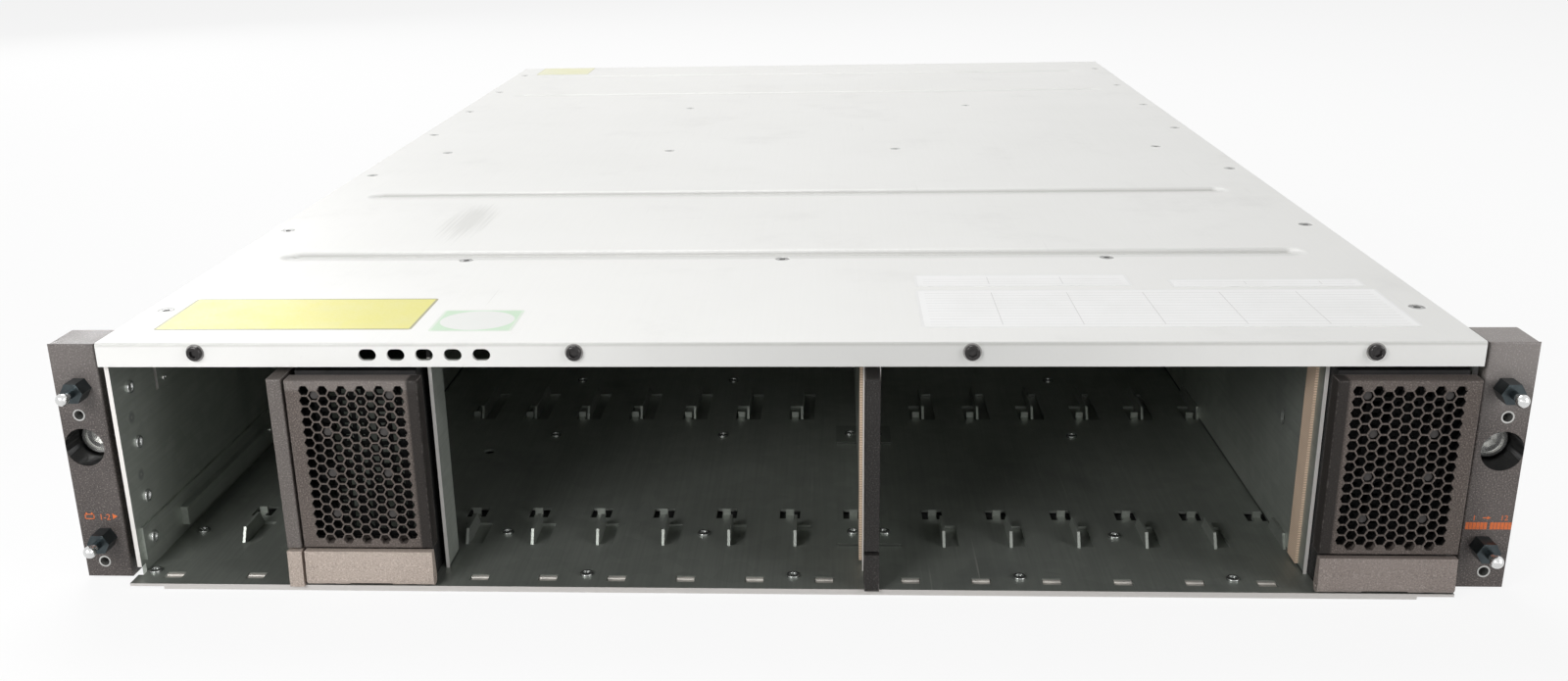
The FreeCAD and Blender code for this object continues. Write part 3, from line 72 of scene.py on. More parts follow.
def mathNode(tree, operation, first, *others):
    # Takes up the other values one by one; ABSOLUTE and the like need only the first
    for other in others or (0.0,):
        node = addNode(tree, "ShaderNodeMath", operation=operation)
        feed(tree, node.inputs[0], first)
        feed(tree, node.inputs[1], other)
        first = node.outputs[0]
    return first


def mathOf(operation):
    return lambda tree, *parts: mathNode(tree, operation, *parts)


times, plus, minus, divided = map(mathOf, ("MULTIPLY", "ADD", "SUBTRACT", "DIVIDE"))
largest, smallest, isOver, isUnder = map(mathOf, ("MAXIMUM", "MINIMUM", "GREATER_THAN", "LESS_THAN"))


def apart(tree, first, second):
    return mathNode(tree, "ABSOLUTE", minus(tree, first, second))


def diagonal(tree, across, along):
    return mathNode(tree, "SQRT", plus(tree, times(tree, across, across), times(tree, along, along)))


def rangeNode(tree, value, low, high, start=0.0, end=1.0, smooth=False):
    node = addNode(tree, "ShaderNodeMapRange", clamp=True)
    if smooth:
        node.interpolation_type = "SMOOTHSTEP"
    for socket, source in zip(node.inputs[:5], (value, low, high, start, end)):
        feed(tree, socket, source)
    return node.outputs[0]


noiseSpan = (0.3, 0.7)


def spread(tree, noise, low, high):
    # Stretches the usual span of a noise over the wanted values
    return rangeNode(tree, noise, *noiseSpan, low, high)


def noiseNode(tree, vector, scale, detail=2.0, roughness=0.5):
    node = addNode(tree, "ShaderNodeTexNoise")
    for label, source in (("Vector", vector), ("Scale", scale), ("Detail", detail), ("Roughness", roughness)):
        feed(tree, node.inputs[label], source)
    return node.outputs["Fac"]


def stretched(tree, vector, scale, turn=(0.0, 0.0, 0.0)):
    node = addNode(tree, "ShaderNodeMapping")
    feed(tree, node.inputs["Vector"], vector)
    node.inputs["Scale"].default_value = scale
    node.inputs["Rotation"].default_value = turn
    return node.outputs["Vector"]


def mixColour(tree, factor, first, second):
    # The node's colour sockets are inputs 6 and 7 and output 2
    node = addNode(tree, "ShaderNodeMix", data_type="RGBA")
    feed(tree, node.inputs[0], factor)
    for socket, source in zip((node.inputs[6], node.inputs[7]), (first, second)):
        feed(tree, socket, (*source, 1.0) if isinstance(source, tuple) else source)
    return node.outputs[2]


def splitAxes(tree, vector):
    node = addNode(tree, "ShaderNodeSeparateXYZ")
    feed(tree, node.inputs[0], vector)
    return node.outputs


def newGroup(name, inputs, outputs):
    tree = bpy.data.node_groups.new(name, "ShaderNodeTree")
    for label, kind, value in inputs:
        socket = tree.interface.new_socket(name=label, in_out="INPUT", socket_type=kind)
        if value is not None:
            socket.default_value = value
    for label in outputs:
        tree.interface.new_socket(name=label, in_out="OUTPUT", socket_type=valueKind)
    start = tree.nodes.new("NodeGroupInput")
    end = tree.nodes.new("NodeGroupOutput")
    return tree, start.outputs, end.inputs


def useGroup(tree, group, **sources):
    node = addNode(tree, "ShaderNodeGroup", node_tree=group)
    for label, source in sources.items():
        feed(tree, node.inputs[label], source)
    return node.outputs


vectorKind = "NodeSocketVector"
valueKind = "NodeSocketFloat"
placeInput = ("Vector", vectorKind, None)


# Fine grain of a moulded or powder-coated face, with slow blotches
def makeGrainGroup():
    sizes = [("Size", valueKind, 0.6 * mm), ("Blotch", valueKind, 30.0 * mm)]
    tree, given, result = newGroup("mouldedGrain", [placeInput, *sizes], ["Grain", "Blotches"])
    fine = divided(tree, 1.0, given["Size"])
    slow = divided(tree, 1.0, given["Blotch"])
    feed(tree, result["Grain"], noiseNode(tree, given["Vector"], fine, detail=2.0, roughness=0.65))
    feed(tree, result["Blotches"], noiseNode(tree, given["Vector"], slow, detail=3.0, roughness=0.55))
    return tree


# Rolled and zinc-coated sheet: streaks along the rolling direction, faint crystals
rolledLook = {"stretch": (1.0, 0.02, 1.0), "cloudScale": 9.0}


def makeRolledGroup():
    sizes = [("Streak Size", valueKind, 1.2 * mm), ("Crystal Size", valueKind, 6.0 * mm)]
    tree, given, result = newGroup("rolledSheet", [placeInput, *sizes], ["Streaks", "Crystals", "Clouds"])
    along = stretched(tree, given["Vector"], rolledLook["stretch"])
    streakScale = divided(tree, 1.0, given["Streak Size"])
    feed(tree, result["Streaks"], noiseNode(tree, along, streakScale, detail=3.0, roughness=0.6))
    crystals = addNode(tree, "ShaderNodeTexVoronoi", feature="F1")
    feed(tree, crystals.inputs["Vector"], given["Vector"])
    feed(tree, crystals.inputs["Scale"], divided(tree, 1.0, given["Crystal Size"]))
    shade = addNode(tree, "ShaderNodeSeparateColor")
    feed(tree, shade.inputs[0], crystals.outputs["Color"])
    feed(tree, result["Crystals"], shade.outputs[0])
    clouds = noiseNode(tree, given["Vector"], rolledLook["cloudScale"], detail=4.0, roughness=0.6)
    feed(tree, result["Clouds"], clouds)
    return tree


# Worn edges of a box-shaped piece, from the distance to its faces
edgeLook = {"raggedScale": 700.0, "raggedSpan": (0.35, 0.65), "raggedReach": (0.3, 1.2)}


def makeEdgeGroup():
    corners = [("Low", vectorKind, (0, 0, 0)), ("High", vectorKind, (1, 1, 1))]
    width = ("Width", valueKind, 0.6 * mm)
    tree, given, result = newGroup("boxEdgeWear", [placeInput, *corners, width], ["Edge"])
    point, low, high = (splitAxes(tree, given[label]) for label in ("Vector", "Low", "High"))
    ragged = noiseNode(tree, given["Vector"], edgeLook["raggedScale"], detail=3.0, roughness=0.6)
    share = rangeNode(tree, ragged, *edgeLook["raggedSpan"], *edgeLook["raggedReach"])
    reach = times(tree, given["Width"], share)
    near = []
    for k in range(3):
        inside = smallest(tree, minus(tree, point[k], low[k]), minus(tree, high[k], point[k]))
        near.append(rangeNode(tree, mathNode(tree, "ABSOLUTE", inside), 0.0, reach, 1.0, 0.0))
    pairs = [times(tree, near[a], near[b]) for a, b in ((0, 1), (1, 2), (0, 2))]
    feed(tree, result["Edge"], smallest(tree, plus(tree, *pairs), 1.0))
    return tree


# Handling marks: soft smudges, and thin scratches that come in patches
marksLook = {
    "smudgeSpan": (0.52, 0.78),
    "scratchScale": (900.0, 14.0, 900.0),
    "scratchTurn": (0.0, 0.0, 0.6),
    "scratchSpan": (0.72, 0.78),
    "patchScale": 22.0,
    "patchSpan": (0.5, 0.7),
}


def makeMarksGroup():
    sizes = [("Smudge Size", valueKind, 50.0 * mm), ("Scratch Share", valueKind, 0.3)]
    tree, given, result = newGroup("handlingMarks", [placeInput, *sizes], ["Smudges", "Scratches"])
    smudgeScale = divided(tree, 1.0, given["Smudge Size"])
    smudges = noiseNode(tree, given["Vector"], smudgeScale, detail=5.0, roughness=0.62)
    feed(tree, result["Smudges"], rangeNode(tree, smudges, *marksLook["smudgeSpan"], smooth=True))
    turned = stretched(tree, given["Vector"], marksLook["scratchScale"], marksLook["scratchTurn"])
    lines = noiseNode(tree, turned, 1.0, detail=1.0, roughness=0.4)
    thin = rangeNode(tree, lines, *marksLook["scratchSpan"])
    patches = noiseNode(tree, given["Vector"], marksLook["patchScale"])
    patches = rangeNode(tree, patches, *marksLook["patchSpan"])
    feed(tree, result["Scratches"], times(tree, thin, patches, given["Scratch Share"]))
    return tree


grainGroup = makeGrainGroup()
rolledGroup = makeRolledGroup()
edgeGroup = makeEdgeGroup()
marksGroup = makeMarksGroup()
print("shader groups ready")


def emptyTree(owner):
    owner.use_nodes = True
    owner.node_tree.nodes.clear()
    return owner.node_tree


def newMaterial(name):
    # Gives the material, its tree, its shader's inputs and the place on the piece
    material = bpy.data.materials.new(name)
    tree = emptyTree(material)
    output = addNode(tree, "ShaderNodeOutputMaterial")
    shader = addNode(tree, "ShaderNodeBsdfPrincipled")
    tree.links.new(shader.outputs["BSDF"], output.inputs["Surface"])
    return material, tree, shader.inputs, addNode(tree, "ShaderNodeTexCoord").outputs["Object"]


def grainOf(tree, where, sizes):
    # Sizes of the grain and of the blotches, in millimetres
    size, blotch = (part * mm for part in sizes)
    return useGroup(tree, grainGroup, Vector=where, Size=size, Blotch=blotch)


fineBump = 0.2 * mm


def addBump(tree, inputs, height, strength, distance=fineBump, under=None):
    bump = addNode(tree, "ShaderNodeBump")
    bump.inputs["Strength"].default_value = strength
    bump.inputs["Distance"].default_value = distance
    feed(tree, bump.inputs["Height"], height)
    if under is not None:
        feed(tree, bump.inputs["Normal"], under)
    feed(tree, inputs["Normal"], bump.outputs["Normal"])
    return bump.outputs["Normal"]


def setLook(tree, inputs, colour, roughness, metallic=0.0, gloss=0.5):
    # Plain values are set on the shader itself, node outputs are linked to it
    looks = {"Base Color": colour, "Roughness": roughness, "Metallic": metallic, "Specular IOR Level": gloss}
    for label, source in looks.items():
        feed(tree, inputs[label], source)


# Pale satin steel of the cover
coverFinish = {
    "pale": (0.815, 0.812, 0.793),
    "shade": (0.745, 0.743, 0.721),
    "smudge": (0.55, 0.545, 0.53),
    "smudgeShare": 0.22,
    "stainAndShade": (0.34, 0.34, 0.31),
    "metallic": 0.1,
    "roughness": (0.48, 0.6),
    "streakBump": 0.12,
    "lipSpan": (0.2 * mm, 1.0 * mm),
    "lipDepth": 6.0 * mm,
    "grooveSpan": (0.45 * mm, 0.03 * mm),
    "grooveShare": 0.5,
    "bendLow": 1.5 * mm,
    "bendHigh": 0.7 * mm,
    "bendShare": 0.5,
    "stainPlace": (-140.0 * mm, 155.0 * mm),
    "stainReach": (11.0 * mm, 33.0 * mm),
    "stainFade": (1.2, 0.2),
    "stainShare": 0.3,
    "stainSkin": 0.5 * mm,
    "beads": (94.5 * mm, 209.5 * mm, 540.0 * mm, 637.0 * mm),
    "beadReach": 195.0 * mm,
    "beadFlank": 8.0 * mm,
    "beadDepth": 2.8 * mm,
    "beadFlankShade": 0.12,
    "beadShadeFadeSpan": (300.0 * mm, 480.0 * mm),
    "rearBeadShade": 0.3,
    "lipShade": (0.56, 0.56, 0.545),
    "lipShadePlace": 31.0 * mm,
    "lipShadeReach": (15.0 * mm, 150.0 * mm),
    "lipShadeShare": 0.75,
}


# Soft flanks of the pressed beads: 0 on the flat sheet, 1 along a bead's middle
def beadFlanks(tree, axes):
    nearest = smallest(tree, *(apart(tree, axes[1], row) for row in coverFinish["beads"]))
    past = minus(tree, mathNode(tree, "ABSOLUTE", axes[0]), coverFinish["beadReach"])
    away = diagonal(tree, nearest, largest(tree, past, 0.0))
    return rangeNode(tree, away, coverFinish["beadFlank"], 0.0, smooth=True)


raggedRim = 0.4


# Distance from the middle of a round or oval mark: 1 at its rim, which may be ragged
def spotMask(tree, axes, place, reach, ragged=None):
    parts = []
    for axis, middle, half in zip(axes, place, reach):
        parts.append(divided(tree, minus(tree, axis, middle), half))
    distance = diagonal(tree, *parts)
    if ragged is not None:
        distance = plus(tree, distance, spread(tree, ragged, -raggedRim, raggedRim))
    return distance


def makeCoverMaterial():
    look = coverFinish
    low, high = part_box("top_cover")
    material, tree, inputs, where = newMaterial("coverSteel")
    axes = splitAxes(tree, where)
    rolled = useGroup(tree, rolledGroup, Vector=where)
    marks = useGroup(tree, marksGroup, Vector=where)
    base = mixColour(tree, rolled["Clouds"], look["pale"], look["shade"])
    smudged = mixColour(tree, times(tree, marks["Smudges"], look["smudgeShare"]), base, look["smudge"])
    scratched = mixColour(tree, marks["Scratches"], smudged, look["smudge"])
    # The middle of the lip is painted darker, a painted shade
    fromMiddle = apart(tree, axes[0], look["lipShadePlace"])
    lipShade = rangeNode(tree, fromMiddle, *look["lipShadeReach"], look["lipShadeShare"], 0.0, smooth=True)
    onLip = rangeNode(tree, axes[1], *(low.y + part for part in look["lipSpan"]), 1.0, 0.0)
    scratched = mixColour(tree, times(tree, lipShade, onLip), scratched, look["lipShade"])
    # Painted shade darkens the pressed beads and the soft flanks round them, less in the rear ones, and the
    # bend of the lip; the stain is a real mark
    sunk = rangeNode(tree, axes[2], *(high.z - part for part in look["grooveSpan"]), 1.0, 0.0)
    onTop = isOver(tree, axes[1], low.y + look["lipDepth"])
    fading = rangeNode(tree, axes[1], *look["beadShadeFadeSpan"], 1.0, look["rearBeadShade"])
    groove = times(tree, sunk, onTop, look["grooveShare"], fading)
    flanks = times(tree, beadFlanks(tree, axes), fading)
    bendLow = rangeNode(tree, axes[2], high.z - look["bendLow"], high.z - look["bendHigh"])
    bendHigh = rangeNode(tree, axes[2], high.z - look["bendHigh"], high.z, 1.0, 0.0)
    bend = times(tree, bendLow, bendHigh, look["bendShare"], minus(tree, 1.0, onTop))
    away = spotMask(tree, axes, look["stainPlace"], look["stainReach"], rolled["Streaks"])
    stain = rangeNode(tree, away, *look["stainFade"], 0.0, look["stainShare"], smooth=True)
    stain = times(tree, stain, isOver(tree, axes[2], high.z - look["stainSkin"]))
    stainAndShade = largest(tree, groove, times(tree, flanks, look["beadFlankShade"]), bend, stain)
    colour = mixColour(tree, stainAndShade, scratched, look["stainAndShade"])
    setLook(tree, inputs, colour, spread(tree, rolled["Streaks"], *look["roughness"]), look["metallic"])
    pressed = addBump(tree, inputs, minus(tree, 1.0, flanks), 1.0, look["beadDepth"])
    addBump(tree, inputs, rolled["Streaks"], look["streakBump"], under=pressed)
    return material


# Zinc-coated steel inside, with bright raw edges at the front of each sheet
steelFinish = {
    "light": (0.378, 0.40, 0.366),
    "dark": (0.268, 0.29, 0.262),
    "smudge": (0.17, 0.18, 0.175),
    "smudgeShare": 0.5,
    "metallic": 0.6,
    "roughness": (0.34, 0.5),
    "bump": 0.1,
    "crystals": 0.35,
    "streakSpan": (0.4, 0.75),
    "streakShare": 0.5,
    "deepLightSpan": (50.0 * mm, 130.0 * mm),
    "rawEdge": (0.80, 0.77, 0.74),
    "edgeDepth": 0.06 * mm,
    "edgeTop": 79.6 * mm,
    "edgeMetallic": 0.2,
    "edgeRoughness": 0.15,
    "lipSlotShade": (0.02, 0.02, 0.02),
    "lipSlotShadeDepth": 4.0 * mm,
    "footTop": 3.0 * mm,
    "footStep": 0.05 * mm,
    "footShades": (1.0, 0.3),
    "weldPlaces": ((-6.1 * mm, 57.0 * mm), (-6.1 * mm, 35.7 * mm)),
    "weldReach": (2.4 * mm, 2.4 * mm),
    "weldRing": ((1.1, 0.6), (0.1, 0.3)),
    "weldShare": 0.6,
    "slotMiddle": (14.9 * mm, 66.0 * mm),
    "slotHalf": (0.7 * mm, 6.0 * mm),
    "slotRim": (0.4 * mm, 0.2 * mm),
    "slotShare": 0.8,
}
# What each sheet changes: the node whose front edge is raw, and how much lighter or darker its zinc and that
# edge are painted, as painted light and shade; the right wall's raw edge is painted near-black as painted
# shade
steelKinds = {
    "floorSteel": {"front": "floor_pan", "paintedLightLevel": 0.79, "edgeShade": 0.72, "deepLight": 1.4},
    "wallSteel": {"front": "left_side_wall", "paintedLightLevel": 1.15, "leftWall": True},
    "rightWallSteel": {"front": "right_side_wall", "paintedLightLevel": 1.15, "edgeShade": 0.03},
    "postSteel": {"front": "left_post", "paintedLightLevel": 1.45, "feet": True},
    "dividerSteel": {"front": "left_post", "paintedLightLevel": 0.95, "feet": True, "deepLight": 1.6},
    "innerSteel": {},
    "guideSteel": {"paintedLightLevel": 1.1},
    "moduleSteel": {"paintedLightLevel": 1.4},
    "backingSteel": {"paintedLightLevel": 0.75},
}


# Distance from a rectangle's rim, below zero inside it
def fromRectangle(tree, axes, middle, half):
    away = []
    for axis, centre, reach in zip(axes, middle, half):
        away.append(minus(tree, apart(tree, axis, centre), reach))
    return largest(tree, *away)


def steelShades(paintedLightLevel):
    return [tuple(min(1.0, paintedLightLevel * part) for part in steelFinish[key]) for key in ("light", "dark")]


def makeSteelMaterial(name, front=None, paintedLightLevel=1.0, edgeShade=1.0, leftWall=False, feet=False, deepLight=1.0):
    look = steelFinish
    material, tree, inputs, where = newMaterial(name)
    rolled = useGroup(tree, rolledGroup, Vector=where)
    marks = useGroup(tree, marksGroup, Vector=where)
    axes = splitAxes(tree, where)
    light, dark = steelShades(paintedLightLevel)
    if deepLight != 1.0:
        # The zinc is painted lighter deeper in the bays, a painted light
        deepLit = rangeNode(tree, axes[1], *look["deepLightSpan"], smooth=True)
        pairs = zip((light, dark), steelShades(paintedLightLevel * deepLight))
        light, dark = [mixColour(tree, deepLit, near, far) for near, far in pairs]
    base = mixColour(tree, times(tree, rolled["Crystals"], look["crystals"]), light, dark)
    streaks = rangeNode(tree, rolled["Streaks"], *look["streakSpan"], 0.0, look["streakShare"])
    streaked = mixColour(tree, streaks, base, dark)
    smudged = mixColour(tree, times(tree, marks["Smudges"], look["smudgeShare"]), streaked, look["smudge"])
    colour = mixColour(tree, marks["Scratches"], smudged, look["rawEdge"])
    if leftWall:
        # Spot welds are burnt rings, and the punched slot has a bright burr round it
        for weld in look["weldPlaces"]:
            away = spotMask(tree, axes[1:], weld, look["weldReach"], rolled["Clouds"])
            ring = [rangeNode(tree, away, *span) for span in look["weldRing"]]
            colour = mixColour(tree, times(tree, *ring, look["weldShare"]), colour, look["smudge"])
        away = fromRectangle(tree, axes[1:], look["slotMiddle"], look["slotHalf"])
        burr = rangeNode(tree, away, *look["slotRim"], 0.0, look["slotShare"])
        colour = mixColour(tree, burr, colour, look["rawEdge"])
    if feet:
        # Riveted foot plates take the floor's tone, and their sheared sides are painted darker as painted
        # shade
        for step, shade in zip((look["footStep"], -look["footStep"]), look["footShades"]):
            low = isUnder(tree, axes[2], look["footTop"] + step)
            colour = mixColour(tree, low, colour, tuple(shade * part for part in look["dark"]))
    metallic = look["metallic"]
    roughness = spread(tree, rolled["Clouds"], *look["roughness"])
    if front is not None:
        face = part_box(front)[0].y
        underLip = isUnder(tree, axes[2], look["edgeTop"])
        # Behind the lip the front is painted dark, a painted shade in the lip's slots
        ahead = isUnder(tree, axes[1], face + look["lipSlotShadeDepth"])
        colour = mixColour(tree, times(tree, ahead, minus(tree, 1.0, underLip)), colour, look["lipSlotShade"])
        raw = times(tree, rangeNode(tree, axes[1], face + look["edgeDepth"], face), underLip)
        colour = mixColour(tree, raw, colour, tuple(edgeShade * part for part in look["rawEdge"]))
        metallic = rangeNode(tree, raw, 0.0, 1.0, look["metallic"], look["edgeMetallic"])
        roughness = plus(tree, roughness, times(tree, raw, look["edgeRoughness"]))
    setLook(tree, inputs, colour, roughness, metallic)
    addBump(tree, inputs, rolled["Streaks"], look["bump"])
    return material


# Warm grey speckled paint of ears, bezels and caps, and the chins' paint made lighter as a painted sheen,
# less on the right chin: body, flecks, pits
paintShades = {
    "taupe": ((0.106, 0.089, 0.080), (0.25, 0.212, 0.193), (0.046, 0.039, 0.035)),
    "ear": ((0.076, 0.064, 0.059), (0.25, 0.215, 0.20), (0.024, 0.020, 0.019)),
    # The left ear's copy is painted darker, a painted shade
    "earShaded": ((0.062, 0.052, 0.048), (0.22, 0.19, 0.178), (0.020, 0.017, 0.016)),
    "cap": ((0.105, 0.091, 0.083), (0.25, 0.222, 0.205), (0.045, 0.039, 0.036)),
    "dim": ((0.022, 0.020, 0.019), (0.065, 0.060, 0.057), (0.010, 0.010, 0.009)),
    "chin": ((0.42, 0.35, 0.30), (0.60, 0.52, 0.465), (0.25, 0.21, 0.185)),
    "chinShaded": ((0.24, 0.20, 0.18), (0.36, 0.313, 0.286), (0.146, 0.123, 0.111)),
}
paintFinish = {
    "grain": (0.5, 30.0),
    "fleckSpan": (0.54, 0.70),
    "pitSpan": (0.46, 0.32),
    "pitShare": 0.8,
    "blotchSpan": (0.45, 0.75),
    "blotchShare": 0.2,
    "roughness": (0.42, 0.54),
    "bump": (0.25, 0.3 * mm),
    "worn": (0.36, 0.33, 0.31),
    "wornShare": 0.35,
    "edgeWidth": 0.5 * mm,
    "well": (0.006, 0.006, 0.006),
    "wellReach": (7.1 * mm, 7.1 * mm),
    "wellStart": 0.25 * mm,
    "cell": (0.004, 0.004, 0.004),
    "cellMargin": 3.5 * mm,
    "cellStart": (0.25 * mm, 0.6 * mm),
    "topLight": (0.22, 0.20, 0.19),
    "earTopLight": (54.0 * mm, 82.0 * mm),
    "bezelTopLight": (4.0 * mm, 2.5 * mm),
    "sideWidth": (4.2 * mm, 3.2 * mm),
    "sideShade": 0.88,
    "bezelGloss": 0.1,
    "capGloss": 0.2,
    "chinGap": 0.3 * mm,
}
# How the two ends of the front differ in painted light and shade; the shaded side of a bezel is its low (0)
# or its high (1) one
endLooks = {
    "left": {"ear": "earShaded", "chin": "chin", "earTopLight": 0.45, "bezelTopLight": 0.45, "shadedSide": 1},
    "right": {"ear": "ear", "chin": "chinShaded", "earTopLight": 1.0, "bezelTopLight": 0.1, "shadedSide": 0},
}


def speckle(tree, grain, shades):
    flecks = rangeNode(tree, grain["Grain"], *paintFinish["fleckSpan"])
    pits = rangeNode(tree, grain["Grain"], *paintFinish["pitSpan"])
    body, fleck, pit = shades
    base = mixColour(tree, flecks, body, fleck)
    pitted = mixColour(tree, times(tree, pits, paintFinish["pitShare"]), base, pit)
    blotches = rangeNode(tree, grain["Blotches"], *paintFinish["blotchSpan"], 0.0, paintFinish["blotchShare"])
    return mixColour(tree, blotches, pitted, fleck)


def makePaintMaterial(name, node, shade="taupe", chinTop=None, well=None, cells=False, topLight=None, gloss=0.5,
                      shadedSide=None):
    look = paintFinish
    low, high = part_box(node)
    material, tree, inputs, where = newMaterial(name)
    axes = splitAxes(tree, where)
    grain = grainOf(tree, where, look["grain"])
    edge = useGroup(tree, edgeGroup, Vector=where, Low=low, High=high, Width=look["edgeWidth"])
    paint = speckle(tree, grain, paintShades[shade])
    # Below the chin's top the cap takes the chins' lighter paint, a painted sheen
    if chinTop is not None:
        chin = isUnder(tree, axes[2], chinTop)
        paint = mixColour(tree, chin, paint, speckle(tree, grain, paintShades["chin"]))
    if topLight is not None:
        # The upper part is painted paler, a painted light: where it starts, where it is full, and how much
        litShades = (look["topLight"], look["worn"], paintShades[shade][1])
        litShare = rangeNode(tree, axes[2], *topLight[:2], 0.0, topLight[2], smooth=True)
        paint = mixColour(tree, litShare, paint, speckle(tree, grain, litShades))
    if shadedSide is not None:
        # The sloping side next to a gap is painted darker, a painted shade
        fromSide = apart(tree, axes[0], (low, high)[shadedSide].x)
        sideShadow = rangeNode(tree, fromSide, *look["sideWidth"], 0.0, look["sideShade"])
        paint = mixColour(tree, sideShadow, paint, paintShades["dim"][0])
    colour = mixColour(tree, times(tree, edge["Edge"], look["wornShare"]), paint, look["worn"])
    roughness = spread(tree, grain["Blotches"], *look["roughness"])
    flat = (axes[0], axes[2])
    if cells:
        # Inside the cells of the grille the plastic is painted black, a painted shade in the recesses
        middle, half = (low + high) / 2, (high - low) / 2
        reach = [half[k] - look["cellMargin"] for k in (0, 2)]
        inside = isUnder(tree, fromRectangle(tree, flat, (middle.x, middle.z), reach), 0.0)
        depth = rangeNode(tree, axes[1], *(low.y + start for start in look["cellStart"]))
        within = times(tree, inside, depth)
        colour = mixColour(tree, within, colour, look["cell"])
        roughness = largest(tree, roughness, within)
    if well is not None:
        # The bore that holds the rack screw is painted black, a painted shade in the well
        away = spotMask(tree, flat, (well.x, well.z), look["wellReach"])
        inside = isUnder(tree, away, 1.0)
        sunk = isOver(tree, axes[1], low.y + look["wellStart"])
        colour = mixColour(tree, times(tree, inside, sunk), colour, look["well"])
    setLook(tree, inputs, colour, roughness, gloss=gloss)
    addBump(tree, inputs, grain["Grain"], *look["bump"])
    return material


# Small finishes share one recipe: a blotched colour, which may give way to another along one axis
def makeToneMaterial(name, look, span=None):
    material, tree, inputs, where = newMaterial(name)
    grain = grainOf(tree, where, look["grain"])
    blotches = rangeNode(tree, grain["Blotches"], *look["blotches"])
    colour = mixColour(tree, blotches, *look["start"])
    if span is not None:
        along = rangeNode(tree, splitAxes(tree, where)[look["axis"]], *span)
        colour = mixColour(tree, along, colour, mixColour(tree, blotches, *look["end"]))
    roughness = spread(tree, grain["Grain"], *look["roughness"])
    setLook(tree, inputs, colour, roughness, look["metallic"], look["gloss"])
    addBump(tree, inputs, grain["Grain"], look["bump"])
    return material


# Bright fasteners, dark plastics and the like: body and flecks, metallic, roughness, bump
grainyFinish = {
    "brightZinc": ((0.80, 0.80, 0.78), (0.62, 0.62, 0.60), 0.95, 0.24, 0.15),
    "blackNylon": ((0.02, 0.02, 0.021), (0.035, 0.034, 0.034), 0.0, 0.5, 0.15),
    # Near-black for the filler boxes and ear brackets is painted shade in the gaps
    "shadowBlackSteel": ((0.010, 0.010, 0.010), (0.020, 0.019, 0.019), 0.3, 0.55, 0.15),
    "insertSteel": ((0.56, 0.56, 0.54), (0.40, 0.40, 0.39), 0.85, 0.36, 0.15),
    "boardLaminate": ((0.02, 0.10, 0.05), (0.03, 0.14, 0.07), 0.0, 0.35, 0.15),
    "portNickel": ((0.68, 0.67, 0.64), (0.52, 0.51, 0.49), 0.9, 0.3, 0.15),
    "captiveSteel": ((0.74, 0.74, 0.72), (0.58, 0.58, 0.56), 0.9, 0.22, 0.03),
    "tongueSteel": ((0.60, 0.57, 0.52), (0.42, 0.40, 0.37), 0.2, 0.42, 0.15),
    "leverPlastic": ((0.10, 0.10, 0.105), (0.135, 0.133, 0.134), 0.0, 0.42, 0.15),
}
grainyLook = {"grain": (0.8, 6.0), "blotches": (0.35, 0.7), "gloss": 0.5}
grainyRough = (0.8, 1.2)


def makeGrainyMaterial(name):
    body, fleck, metallic, rough, bump = grainyFinish[name]
    roughness = [rough * part for part in grainyRough]
    look = {"start": (body, fleck), "metallic": metallic, "roughness": roughness, "bump": bump}
    return makeToneMaterial(name, {**grainyLook, **look})


# Fasteners that brighten along one axis: cover screws towards the rear, rivets from the floor up
fastenerFinish = {
    "coverScrewSteel": {
        "axis": 1,
        "span": (180.0 * mm, 420.0 * mm),
        "start": ((0.20, 0.20, 0.195), (0.6, 0.6, 0.59)),
        "end": ((0.50, 0.50, 0.49), (0.6, 0.6, 0.59)),
        "metallic": 0.5,
        "roughness": (0.35, 0.5),
    },
    "rivetZinc": {
        "axis": 2,
        "span": (4.0 * mm, 8.0 * mm),
        "start": ((0.36, 0.37, 0.36), (0.30, 0.31, 0.30)),
        "end": ((0.80, 0.81, 0.80), (0.30, 0.31, 0.30)),
        "metallic": 0.9,
        "roughness": (0.18, 0.28),
    },
}
fastenerLook = {"grain": (0.8, 4.0), "blotches": (0.4, 0.7, 0.0, 0.5), "gloss": 0.5, "bump": 0.15}


def makeFastenerMaterial(name):
    look = {**fastenerLook, **fastenerFinish[name]}
    return makeToneMaterial(name, look, look["span"])


# Screen behind a grille painted near-black as painted shade, with its pegs, which stand forward, painted
# lighter as painted light
screenFinish = {
    "sheet": 0.5 * mm,
    "pegSpan": (0.3 * mm, 0.1 * mm),
    "axis": 1,
    "grain": (0.6, 4.0),
    "blotches": (0.0, 1.0),
    "start": ((0.075, 0.07, 0.068), (0.075, 0.07, 0.068)),
    "end": ((0.006, 0.006, 0.006), (0.012, 0.012, 0.012)),
    "metallic": 0.0,
    "gloss": 0.15,
    "roughness": (0.7, 0.85),
    "bump": 0.1,
}


def makeScreenMaterial(name, node):
    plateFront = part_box(node)[1].y - screenFinish["sheet"]
    return makeToneMaterial(name, screenFinish, [plateFront - part for part in screenFinish["pegSpan"]])


# Ball studs: dark hexagon base, bright ball at the tip
studFinish = {
    "grain": (0.6, 4.0),
    "bright": ((0.78, 0.79, 0.79), (0.6, 0.6, 0.59)),
    "dark": ((0.09, 0.11, 0.115), (0.03, 0.035, 0.04)),
    "seamSpan": (-25.5 * mm, -24.9 * mm),
    "metallic": 0.95,
    "roughness": (0.18, 0.3),
    "bump": 0.08,
}


